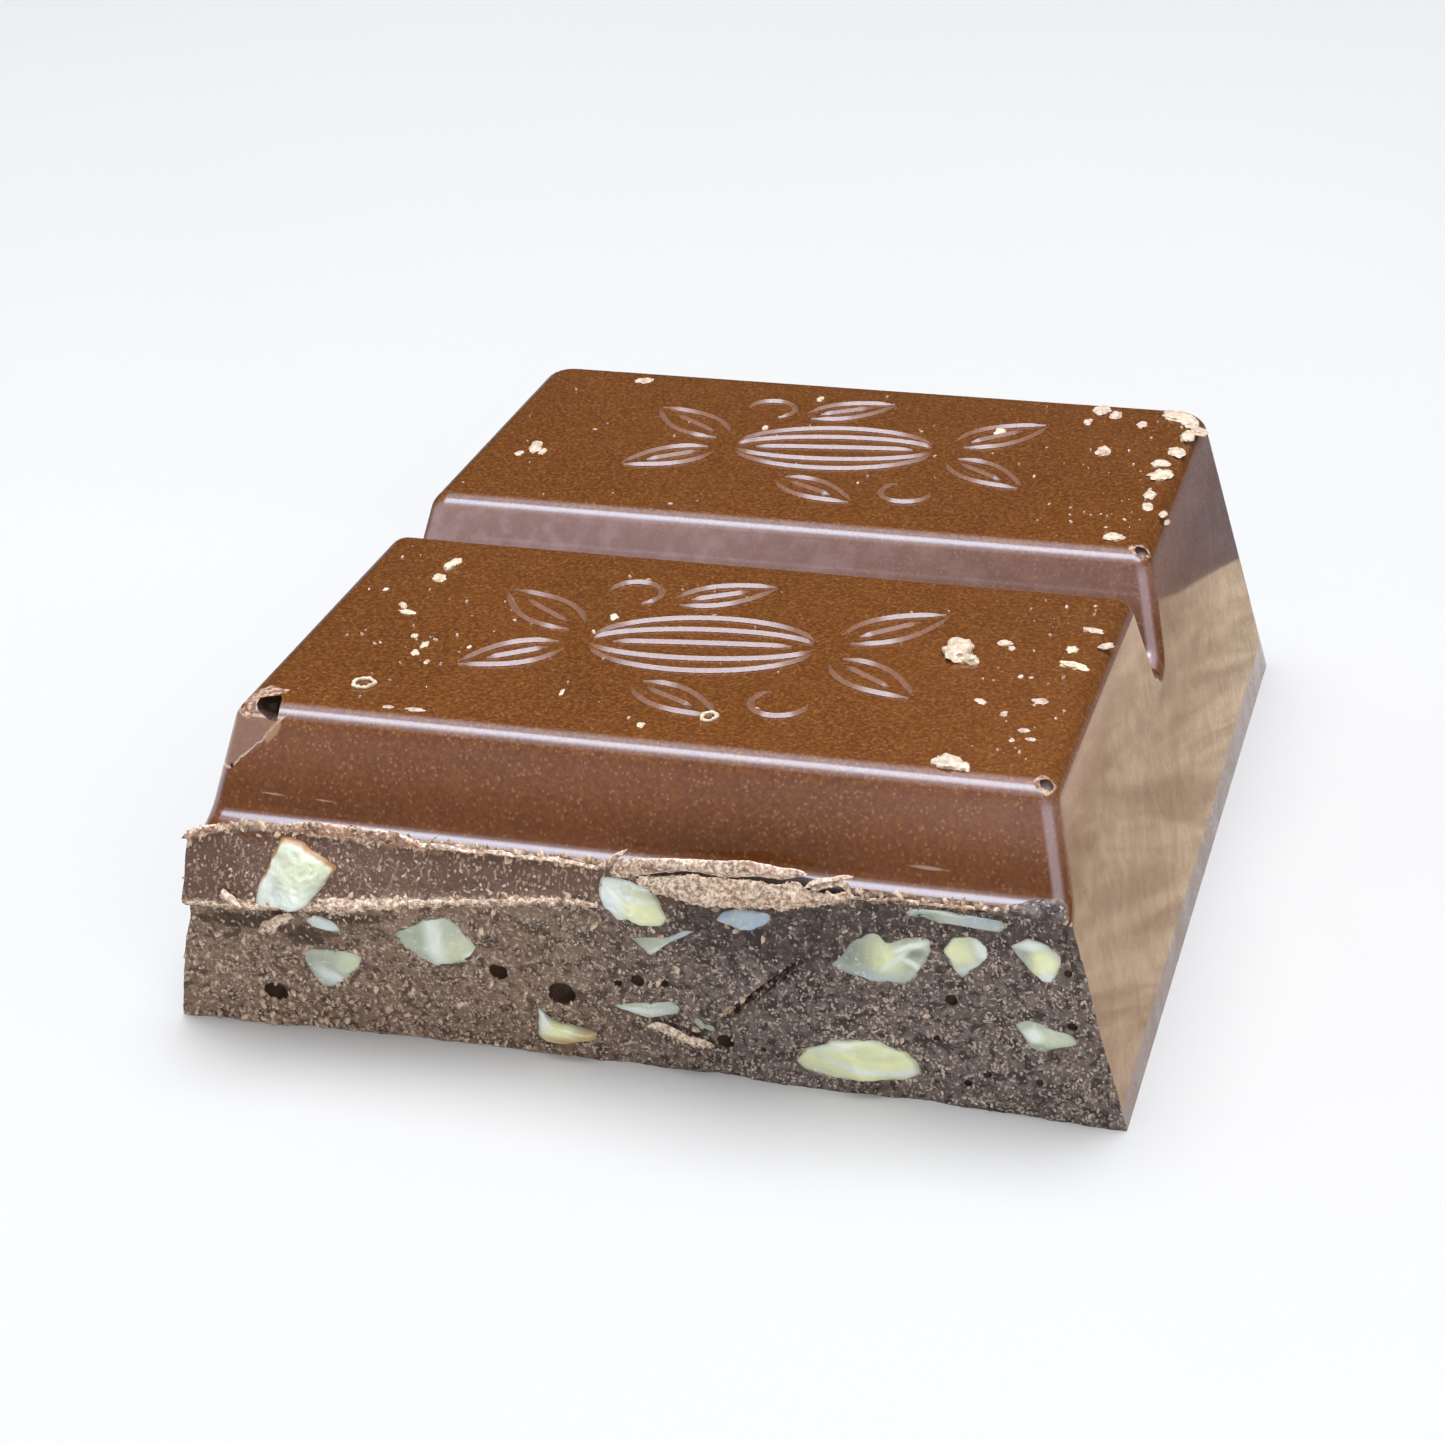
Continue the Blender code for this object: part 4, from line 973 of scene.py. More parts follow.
# What shows on the kernels: tint, place from the middle and half size in millimetres, turn, strength
KERNEL_MARKS = {
    "nut_ledge_left": (
        ("yellow", 0.1, 0.5, 1, 0.6, 0, 0.25), ("yellow", 0.9, 0.9, 0.7, 0.4, -25, 0.35),
        ("white", -0.2, -0.9, 1.3, 0.7, 0, 1), ("blue", 0.2, -1.2, 0.7, 0.4, 0, 0.35),
        ("white", -1.1, 0.2, 0.4, 1.2, 0, 0.8)),
    "nut_under_ridge": (
        ("white", 0, 0, 0.7, 0.3, -20, 0.9), ("blue", 0.2, 0, 0.8, 0.4, 0, 0.5)),
    "nut_fan": (
        ("dark", -0.7, 0.4, 0.7, 0.6, 0, 0.45), ("white", -0.3, -0.4, 0.35, 0.75, 38, 1.3),
        ("blue", -0.5, -0.8, 0.4, 0.4, 0, 0.4), ("yellow", 0.8, 0.4, 0.6, 0.5, 0, 0.4)),
    "nut_diamond": (
        ("dark", -1, 0.1, 0.7, 0.7, 0, 0.35), ("white", 0, 0.1, 0.35, 1.3, 4, 0.9),
        ("yellow", 0.9, -0.4, 0.6, 0.6, 0, 0.4), ("white", 1.35, -0.75, 0.35, 0.16, 15, 1.5),
        ("dark", -0.7, -0.7, 0.5, 0.3, -25, 0.35)),
    "nut_ledge_middle": (
        ("white", -0.9, 0.2, 0.6, 1, 0, 1.1), ("blue", -0.9, -0.3, 0.4, 0.5, 0, 0.5),
        ("yellow", 0.5, -0.3, 0.9, 0.6, -30, 0.8), ("white", 0, 0.3, 0.8, 0.12, -8, 0.7)),
    "nut_bird": (
        ("blue", 0.8, 0.4, 0.6, 0.3, 0, 0.8), ("white", -0.1, -0.3, 0.8, 0.12, 35, 0.8)),
    "nut_blue": (
        ("blue", 0, 0, 1.6, 0.9, 0, 1.1), ("white", 0.1, 0.2, 0.7, 0.15, 0, 0.5)),
    "nut_lens_small": (
        ("white", -0.2, -0.1, 0.8, 0.15, 5, 0.8), ("blue", 0.5, 0.1, 0.6, 0.3, 0, 0.4)),
    "nut_two_lobes": (
        ("dark", -1.1, 0, 0.9, 0.8, 0, 0.75), ("yellow", 0.1, 0, 0.7, 0.7, 0, 0.9),
        ("blue", -0.5, -0.9, 1.1, 0.3, -8, 0.6), ("white", 0.7, 0.1, 0.12, 0.9, -45, 1.4),
        ("white", 1.2, 0.7, 0.7, 0.15, 20, 1.3), ("dark", 1.35, 0.35, 0.35, 0.25, 0, 0.9),
        ("white", 1.2, -0.2, 0.14, 0.6, 50, 1.2)),
    "nut_heart": (
        ("yellow", -0.3, 0.2, 0.6, 0.6, 0, 0.8), ("white", 0.6, 0.5, 0.25, 0.5, 30, 1),
        ("blue", -0.1, -0.7, 0.4, 0.5, 0, 0.5), ("white", 0, -0.5, 0.7, 0.15, 25, 0.6)),
    "nut_right_high": (
        ("yellow", 0.3, -0.05, 0.5, 0.5, 0, 1.1), ("white", -0.3, 0.6, 0.6, 0.18, 5, 1),
        ("dark", -0.3, 0.1, 0.25, 0.6, 35, 0.4), ("white", 0.4, -0.75, 0.35, 0.3, 0, 1.2)),
    "nut_right_low": (
        ("white", -0.5, 0.05, 0.35, 0.3, 0, 1.2), ("dark", -0.2, -0.4, 0.4, 0.15, 0, 0.5),
        ("yellow", 0.3, 0, 0.8, 0.3, 0, 0.3)),
    "nut_half_kernel": (
        ("yellow", 0, 0, 2.6, 1.1, 0, 1), ("white", -0.3, -0.2, 1.5, 0.13, -9, 1.1),
        ("white", 1.5, -0.45, 0.9, 0.13, -4, 1), ("white", -0.9, 0.55, 0.9, 0.2, 22, 0.6),
        ("dark", 0.6, 0.5, 0.9, 0.25, -12, 0.3), ("white", 2.2, -0.5, 0.3, 0.3, 0, 0.9)),
    "nut_block": (
        ("white", -1, 0.5, 0.45, 0.6, 0, 1.2), ("yellow", -0.7, -0.2, 1, 0.9, 0, 1.1),
        ("tan", 0.3, -0.6, 1.2, 0.28, -6, 1), ("tan", 0.9, -0.3, 0.5, 0.4, 0, 0.9)),
    "nut_sliver": (
        ("white", -1.5, 0, 0.4, 0.25, 0, 1), ("blue", 1.1, 0, 0.9, 0.3, 0, 0.7),
        ("white", 0, 0.2, 1.5, 0.08, 0, 0.7)),
    "nut_chip": (
        ("dark", 0, 0, 0.5, 0.4, 0, 0.5),)}
CRUMBLY = ("nut_ledge_left", "nut_ledge_middle")
TINTS = ("yellow", "white", "blue", "dark", "tan")


def marked(name, tint, x, z):
    """How strongly a tint shows at a place on a kernel."""
    strength = 0.0
    for kind, cx, cz, half_x, half_z, turn, most in KERNEL_MARKS[name]:
        if kind == tint:
            c, s = math.cos(math.radians(turn)), math.sin(math.radians(turn))
            dx, dz = x / MM - cx, z / MM - cz
            away = math.hypot((dx * c + dz * s) / half_x, (dz * c - dx * s) / half_z)
            strength = max(strength, most * clamp(1.5 - away))
    return strength


def kernel_look():
    look = Look("nut_kernel")
    warm, milk, skin, edge, yellow, white, blue, dark, tan = (
        look.attribute(name) for name in ("warm", "milk", "skin", "edge", *TINTS))
    fibres = look.noise(0.26, 4, 0.65, look.stretched((1.0, 1.0, 0.3), (0, math.radians(35), 0)))
    clouds = look.noise(0.9, 3).fade(0.3, 0.7)
    grit = look.noise(0.22, 3, 0.6)
    look.base = look.blend(clouds, (0.38, 0.44, 0.36), (0.52, 0.57, 0.47))
    look.over((warm * 0.5 + yellow).clamped(), (0.90, 0.93, 0.52))
    look.over(look.cells(0.55, "SMOOTH_F1").fade(0.15, 0.65) * 0.3, (0.66, 0.70, 0.54))
    look.over((milk * 0.75 + white + fibres * 0.7 - 0.75).clamped(), (0.84, 0.90, 0.82))
    look.over((blue * (clouds * 0.4 + 0.6)).clamped(), (0.44, 0.53, 0.62))
    look.over((dark * (fibres + 0.3)).clamped(), (0.20, 0.23, 0.18))
    look.over((tan * (grit + 0.5)).clamped(), (0.62, 0.42, 0.17))
    # Painted shade: the kernels are darker at their rim, where they meet the chocolate
    look.over(edge.fade(0.72, 1.0) * 0.5, (0.26, 0.23, 0.17))
    look.over(grit.fade(0.58, 0.70) * 0.5, (0.84, 0.88, 0.80))
    look.over((skin * 1.7 + fibres * 0.5 - 0.70).clamped(), (0.44, 0.22, 0.065))
    look.set(Base_Color=look.base, Roughness=fibres * 0.3 + 0.25)
    look.set(Subsurface_Weight=0.3, Subsurface_Scale=0.0004, Subsurface_Radius=(1.0, 0.9, 0.6))
    look.set(Normal=look.bump(fibres * 0.6 + grit * 0.5, 0.06, 0.8))
    return look.material


KERNEL = kernel_look()


def cleaved(x, z, seed, size):
    """Height of the cleaved faces at a place on a kernel: the lowest of five tilted planes."""
    planes = []
    for k in range(5):
        angle = seed * 2.4 + k * 1.37
        tilt = 0.22 + 0.16 * math.sin(seed * 5.1 + k * 3.3)
        reach = size * (0.25 + 0.2 * math.sin(seed * 3.7 + k * 2.1))
        planes.append((x * math.cos(angle) + z * math.sin(angle)) * tilt - reach * tilt)
    return -max(planes)


def kernel(nut, index):
    name, cx, cz, stand, depth, tint, milk, skin, corners = nut
    outline = cut_outline(corners, index)
    count = len(outline)
    size = sum(math.hypot(x, z) for x, z in outline) / count
    bm = bmesh.new()
    rings, skins, edges, places = [], [], [], [(0.0, 0.0)]

    def front(x, z, share):
        hold = 1 - share ** 7
        rise = stand * MM * hold + (cleaved(x, z, index + 1, size) + 0.04 * MM) * hold
        rough = 4.0 if name in CRUMBLY else 1.0
        grit = 0.02 * rough * MM * lumpy(x, z, index, 0.25, 0.2)
        dent = 0.09 * MM * lumpy(x, z, index + 0.5, 0.7)
        return face_y(cx * MM + x, cz * MM + z) - rise + grit * hold + dent * hold

    def cling(x, z, share):
        if skin is None:
            return 0.0
        far = max(math.hypot(x, z), 1e-6)
        toward = (x * math.cos(math.radians(skin)) + z * math.sin(math.radians(skin))) / far
        return clamp(toward * 2.5 + 0.4) * clamp((share - 0.84) / 0.12)

    def add_ring(spots, share):
        ring = []
        for x, y, z in spots:
            ring.append(bm.verts.new((cx * MM + x, y, cz * MM + z)))
            places.append((x, z))
            skins.append(cling(x, z, share))
            edges.append(min(share, 1.0) ** 2.5)
        rings.append(ring)

    tip = bm.verts.new((cx * MM, front(0, 0, 0), cz * MM))
    skins.append(0.0)
    edges.append(0.0)
    for r in range(1, CROWN_RINGS + 1):
        share = r / CROWN_RINGS
        add_ring([(x * share, front(x * share, z * share, share), z * share) for x, z in outline],
                 share)
    for back, scale in ((0.25, 1.02), (depth * 0.6, 0.86), (depth, 0.5)):
        add_ring([(x * scale, face_y(cx * MM + x, cz * MM + z) + back * MM, z * scale)
                  for x, z in outline], 1.0)
    for i in range(count):
        bm.faces.new((tip, rings[0][i], rings[0][(i + 1) % count]))
    bridge(bm, rings, (-1,))
    obj = mesh_object(name + "_kernel", bm, [KERNEL])
    set_attribute(obj.data, "warm", [tint] * len(skins))
    for kind in TINTS:
        set_attribute(obj.data, kind, [marked(name, kind, x, z) for x, z in places])
    set_attribute(obj.data, "milk", [milk] * len(skins))
    set_attribute(obj.data, "skin", skins)
    set_attribute(obj.data, "edge", edges)
    shade(obj, 24)
    place_on_frame(obj)
    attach(obj, "root")
    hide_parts(name)


for index, nut in enumerate(NUTS):
    kernel(nut, index)

# ======================================================================================
# The torn strips.  A curl peeled up along the rim, the crumbly lip under it, thin slivers that
# stick up, and shavings on the face: the same chocolate, bruised to a light tan.
# ======================================================================================
def torn_look():
    look = Look("torn_chocolate")
    edge = look.attribute("edge")
    crumbs = look.noise(0.17, 4, 0.65)
    lumps = look.noise(0.55, 3, 0.6).fade(0.38, 0.62)
    brown = look.blend(lumps, (0.165, 0.070, 0.038), (0.46, 0.230, 0.130))
    tan = look.blend(crumbs.fade(0.35, 0.65), (0.54, 0.37, 0.25), (0.92, 0.79, 0.64))
    look.base = look.blend((edge * 1.3 + (crumbs - 0.5) * 3.6 - 0.22).clamped(), brown, tan)
    # Painted shade: a strip with a tan share below 0 goes near black, as the shadow behind the curl
    look.over(edge.fade(-0.2, -0.8), (0.030, 0.011, 0.005))
    look.set(Base_Color=look.base, Roughness=crumbs * 0.3 + 0.5, IOR=1.45)
    look.set(Normal=look.bump(crumbs, 0.06, 0.8))
    return look.material


TORN = torn_look()
STRIP_ROWS = 12
STRIP_STEP = 0.045 * MM


def along(rows, t):
    """The numbers of a row at t from 0 to 1 along a smooth line through the given rows."""
    step = clamp(t) * (len(rows) - 1)
    i = min(int(step), len(rows) - 2)
    u = step - i
    before, after = rows[max(i - 1, 0)], rows[min(i + 2, len(rows) - 1)]
    return [b + u * (c - a + u * (2 * a - 5 * b + 4 * c - d + u * (3 * (b - c) + d - a))) / 2
            for a, b, c, d in zip(before, rows[i], rows[i + 1], after)]


def crumble(x, z, seed):
    """Uneven relief of a torn edge, from about -1 to 1."""
    return lumpy(x, z, seed, 0.42) + 0.55 * lumpy(x, z, seed + 3, 0.15)


def torn_strip(name, rows, ragged, relief, tan, seed, mat):
    """A thin closed strip through rows of x, foot, head, stand and thickness, in millimetres."""
    run = sum(math.hypot(b[0] - a[0], b[2] - a[2]) for a, b in zip(rows, rows[1:])) * MM
    steps = round(run / STRIP_STEP)
    bm = bmesh.new()
    edges, sheets = [], []
    for side in (-0.5, 0.5):
        sheet = []
        for i in range(steps + 1):
            x, foot, head, stand, thick = (n * MM for n in along(rows, i / steps))
            end = clamp(min(i, steps - i) * STRIP_STEP / (0.25 * MM), 0.15)
            middle = (foot + head) / 2
            foot = mix(middle, foot - ragged * MM * crumble(x, 0.0, seed), end)
            head = mix(middle, head + ragged * 0.5 * MM * crumble(x, 0.0, seed + 7), end)
            column = []
            for k in range(STRIP_ROWS + 1):
                up = k / STRIP_ROWS
                z = mix(foot, max(head, foot + 0.05 * MM), up)
                body = thick * end * (0.25 + 0.75 * math.sin(math.pi * (0.08 + 0.84 * up)))
                rough = relief * MM * crumble(x, z, seed + 4) * (1.0 if side < 0 else 0.3)
                bow = 0.10 * MM * math.sin(up * math.pi)
                y = face_y(x, min(z, RIM_Z)) - stand - bow + rough + side * body
                column.append(bm.verts.new((x, y, z)))
                edges.append(tan if tan < 0 else max(tan, 1 - up * 6, up * 5 - 4))
            sheet.append(column)
        sheets.append(sheet)
    front, back = sheets
    for i in range(steps):
        for k in range(STRIP_ROWS):
            for s in sheets:
                bm.faces.new((s[i][k], s[i + 1][k], s[i + 1][k + 1], s[i][k + 1]))
        for k in (0, STRIP_ROWS):
            bm.faces.new((front[i][k], front[i + 1][k], back[i + 1][k], back[i][k]))
    for i in (0, steps):
        for k in range(STRIP_ROWS):
            bm.faces.new((front[i][k], front[i][k + 1], back[i][k + 1], back[i][k]))
    obj = mesh_object(name, bm, [mat])
    set_attribute(obj.data, "edge", edges)
    shade(obj, 45)
    place_on_frame(obj)
    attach(obj, "root")
    return obj


# The frill along the ridge: place across, and how far it hangs below and stands above the ridge
RIDGE_FRILL = [(x, ridge_height(x * MM) / MM - below, ridge_height(x * MM) / MM + above, 0.02, 0.12)
               for x, below, above in (
                   (-17.9, 0.45, 0.05), (-17, 0.55, 0.1), (-16.2, 0.5, 0.06), (-15.4, 0.42, 0.1),
                   (-14, 0.36, 0.1), (-12.2, 0.45, 0.22), (-10.4, 0.36, 0.15), (-8.5, 0.26, 0.08),
                   (-6.5, 0.24, 0.06), (-4.5, 0.22, 0.05), (-2.3, 0.18, 0.05), (-1, 0.14, 0.04))]
# What each strip is made of: its raggedness, relief, tan share and seed, then rows of place across,
# foot, head, stand and thickness in millimetres
TORN_STRIPS = (
    ("rim_curl", 0.05, 0.03, 0.6, 1, (
        (-0.35, 9.3, 9.66, 0.25, 0.14), (0.05, 9.4, 10.12, 0.45, 0.16), (0.6, 9.56, 10.36, 0.65, 0.16),
        (1.3, 9.85, 10.5, 0.8, 0.16), (2.2, 10.1, 10.65, 0.85, 0.16), (3.3, 10.24, 10.74, 0.85, 0.16),
        (4.2, 10.14, 10.8, 0.85, 0.18), (5, 10.26, 10.91, 0.85, 0.16), (5.8, 10.34, 10.89, 0.85, 0.14),
        (6.5, 10.28, 10.76, 0.75, 0.14), (7, 10.36, 10.68, 0.6, 0.12), (7.42, 10.42, 10.5, 0.5, 0.08))),
    ("rim_ledge", 0.16, 0.15, 0.8, 2, (
        (0.7, 9.1, 9.36, 0.3, 0.2), (1.4, 8.98, 9.62, 0.5, 0.35), (2.2, 8.92, 9.76, 0.6, 0.4),
        (3, 8.78, 9.93, 0.6, 0.5), (3.8, 8.75, 9.93, 0.6, 0.5), (4.6, 8.8, 9.97, 0.6, 0.5),
        (5.4, 8.9, 9.99, 0.6, 0.5), (6.2, 8.92, 9.93, 0.6, 0.45), (7, 9.02, 10.05, 0.55, 0.4),
        (7.5, 9.1, 9.8, 0.45, 0.35), (8.2, 9.22, 9.62, 0.35, 0.3), (9, 9.38, 9.6, 0.2, 0.15))),
    # A dark strip behind the curl: painted shade in the gap under it
    ("rim_root", 0.05, 0.03, -1, 12, (
        (1.2, 9.6, 9.95, 0.4, 0.25), (3, 9.6, 10.35, 0.4, 0.25), (5, 9.6, 10.4, 0.4, 0.25),
        (7, 9.6, 10.2, 0.3, 0.25), (8.9, 9.5, 9.95, 0.1, 0.2))),
    ("rim_spike", 0.04, 0.02, 0.8, 3, (
        (7.3, 9.8, 9.98, 0.55, 0.14), (7.75, 10.15, 10.37, 0.65, 0.14), (8.32, 10.35, 10.52, 0.68, 0.12),
        (8.81, 10.5, 10.66, 0.66, 0.1), (9.19, 10.57, 10.65, 0.6, 0.06))),
    ("rim_loop", 0.07, 0.04, 0.85, 4, (
        (7.45, 9.85, 10.15, 0.5, 0.12), (7.85, 9.92, 10.14, 0.62, 0.14), (8.3, 10.1, 10.32, 0.66, 0.14),
        (8.7, 10.15, 10.4, 0.62, 0.14), (8.95, 9.85, 10.25, 0.5, 0.12), (9.05, 9.6, 9.85, 0.35, 0.1))),
    ("rim_loop_low", 0.08, 0.05, 0.85, 4.5, (
        (7.35, 9.35, 9.8, 0.5, 0.16), (7.6, 9.5, 9.72, 0.6, 0.18), (8.05, 9.5, 9.7, 0.6, 0.2),
        (8.2, 9.62, 9.92, 0.6, 0.12), (8.42, 9.52, 9.76, 0.55, 0.18), (8.85, 9.5, 9.85, 0.45, 0.16),
        (9.1, 9.55, 9.7, 0.25, 0.1))),
    ("sliver", 0.03, 0.02, 0.5, 5, (
        (-0.95, 9.4, 9.55, 0.15, 0.14), (-0.6, 9.58, 9.84, 0.28, 0.14), (-0.12, 10.02, 10.3, 0.4, 0.12),
        (0.46, 10.58, 10.68, 0.48, 0.05))),
    ("sliver_left", 0.02, 0.02, 0.5, 6, (
        (-7.8, 9.55, 9.66, 0.1, 0.09), (-7.58, 9.76, 9.88, 0.18, 0.08), (-7.1, 10.28, 10.38, 0.25, 0.05))),
    ("horn_edge", 0.1, 0.08, 0.35, 7, (
        (-17.35, 9.4, 9.7, 0.02, 0.14), (-16.9, 9.55, 9.9, 0.03, 0.16), (-16.4, 9.58, 9.84, 0.03, 0.14),
        (-15.9, 9.45, 9.62, 0.03, 0.1))),
    ("rim_lip", 0.16, 0.12, 0.26, 7.5, (
        (-13.9, 9.48, 9.72, 0.02, 0.06), (-13, 9.52, 9.96, 0.03, 0.08), (-12.1, 9.5, 10.05, 0.04, 0.1),
        (-10.5, 9.5, 10.05, 0.05, 0.1), (-9.2, 9.48, 10.05, 0.06, 0.12), (-8.6, 9.48, 9.9, 0.06, 0.12),
        (-8, 9.52, 9.68, 0.05, 0.08))),
    ("rim_line", 0.07, 0.05, 0.62, 7.8, (
        (-8.2, 9.48, 9.66, 0.05, 0.1), (-7, 9.52, 9.72, 0.06, 0.1), (-5.8, 9.48, 9.64, 0.05, 0.08),
        (-4.8, 9.54, 9.73, 0.06, 0.1), (-3.6, 9.5, 9.66, 0.06, 0.08), (-2.2, 9.5, 9.68, 0.06, 0.1),
        (-0.9, 9.4, 9.56, 0.08, 0.1))),
    ("rim_right", 0.08, 0.06, 0.12, 8, (
        (8.8, 9.3, 9.42, 0.03, 0.1), (10, 9.34, 9.46, 0.03, 0.08), (10.8, 9.46, 9.6, 0.03, 0.08),
        (12, 9.42, 9.55, 0.03, 0.08), (13.1, 9.44, 9.58, 0.03, 0.08), (14.2, 9.55, 9.72, 0.03, 0.08))),
    ("rim_corner", 0.07, 0.08, 0, 8.5, (
        (13.3, 9.15, 9.52, -0.18, 0.3), (14, 9.15, 9.7, -0.18, 0.45), (14.6, 9.15, 9.78, -0.2, 0.55),
        (15.3, 9.15, 9.88, -0.2, 0.6), (16.2, 9.15, 10.08, -0.2, 0.6), (16.8, 9.15, 10.14, -0.2, 0.6),
        (17.1, 9.15, 9.75, -0.2, 0.4))),
    ("ridge_frill", 0.18, 0.13, 0.6, 9, RIDGE_FRILL),
    ("face_shaving", 0.1, 0.06, 0.75, 10, (
        (0.55, 2.05, 2.25, 0.1, 0.1), (1, 2, 2.42, 0.22, 0.14), (1.6, 1.85, 2.3, 0.3, 0.16),
        (2.2, 1.6, 2.05, 0.28, 0.16), (2.8, 1.42, 1.78, 0.2, 0.14), (3.15, 1.38, 1.52, 0.1, 0.1))),
    ("left_shaving", 0.15, 0.09, 0.95, 11, (
        (-15.25, 4.75, 4.95, 0.05, 0.12), (-14.95, 4.85, 5.35, 0.24, 0.18), (-14.45, 5.1, 5.75, 0.34, 0.2),
        (-13.9, 5.55, 6.1, 0.3, 0.18), (-13.4, 5.9, 6.2, 0.14, 0.1))),
    ("ridge_crumb", 0.05, 0.04, 1.6, 13, (
        (-16.15, 6.95, 7.22, 0.05, 0.1), (-15.9, 6.74, 7.12, 0.12, 0.12), (-15.3, 6.42, 6.66, 0.1, 0.1))))
STRIPS = {name: torn_strip(name, rows, ragged, relief, tan, seed, MASS if name == "rim_corner" else TORN)
          for name, ragged, relief, tan, seed, rows in TORN_STRIPS}
SHRED_SIZE, SHRED_DENSITY = (0.03 * MM, 0.08 * MM), 120e6
# How thickly shreds cling to each strip
FLAKE_SHARES = {"rim_curl": 0.03, "rim_ledge": 0.9, "rim_loop": 0.3, "rim_loop_low": 0.6, "horn_edge": 0.4,
                "rim_lip": 0.32, "rim_line": 0.22, "rim_right": 0.22, "rim_corner": 0.05, "ridge_frill": 0.65,
                "face_shaving": 0.5, "left_shaving": 0.5}


def flaking_surface():
    """All the strips as one surface, with a clumpy weight for the shreds that cling to them."""
    places, faces, weights = [], [], []
    for name, share in FLAKE_SHARES.items():
        mesh = STRIPS[name].data
        start = len(places)
        for vert in mesh.vertices:
            places.append(vert.co.copy())
            weights.append(share * clamp(0.45 + 1.6 * noise.noise(vert.co / (0.35 * MM))))
        faces += [[start + i for i in polygon.vertices] for polygon in mesh.polygons]
    mesh = bpy.data.meshes.new("flaking_surface")
    mesh.from_pydata(places, [], faces)
    set_attribute(mesh, "weight", weights)
    set_attribute(mesh, "edge", [0.35 + 0.8 * weight for weight in weights])
    return add_object("flaking_surface", mesh)


shred, flaking = shard("shred", 3.0), flaking_surface()
shreds = scatter("strip_shreds", flaking, shred, SHRED_DENSITY, SHRED_SIZE, 21, TORN)
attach(shreds, "root")
discard((shred, flaking))

# ======================================================================================
# Crumbs on the moulded side.  Bits of nut and chips of chocolate that fell on it when the bar
# was snapped, from a lump over a millimetre wide down to dust.
# ======================================================================================
def crumb_look():
    look = Look("crumbs")
    lumps = look.noise(0.35, 3, 0.6).fade(0.3, 0.7)
    pink = look.blend(lumps, (0.38, 0.24, 0.18), (0.74, 0.56, 0.47))
    pale = look.blend(lumps, (0.54, 0.42, 0.26), (0.86, 0.76, 0.57))
    look.set(Base_Color=look.blend(look.attribute("cream"), pink, pale), Roughness=0.75 - lumps * 0.2)
    look.set(Normal=look.bump(lumps, 0.05, 0.7))
    return look.material


CRUMBS = crumb_look()
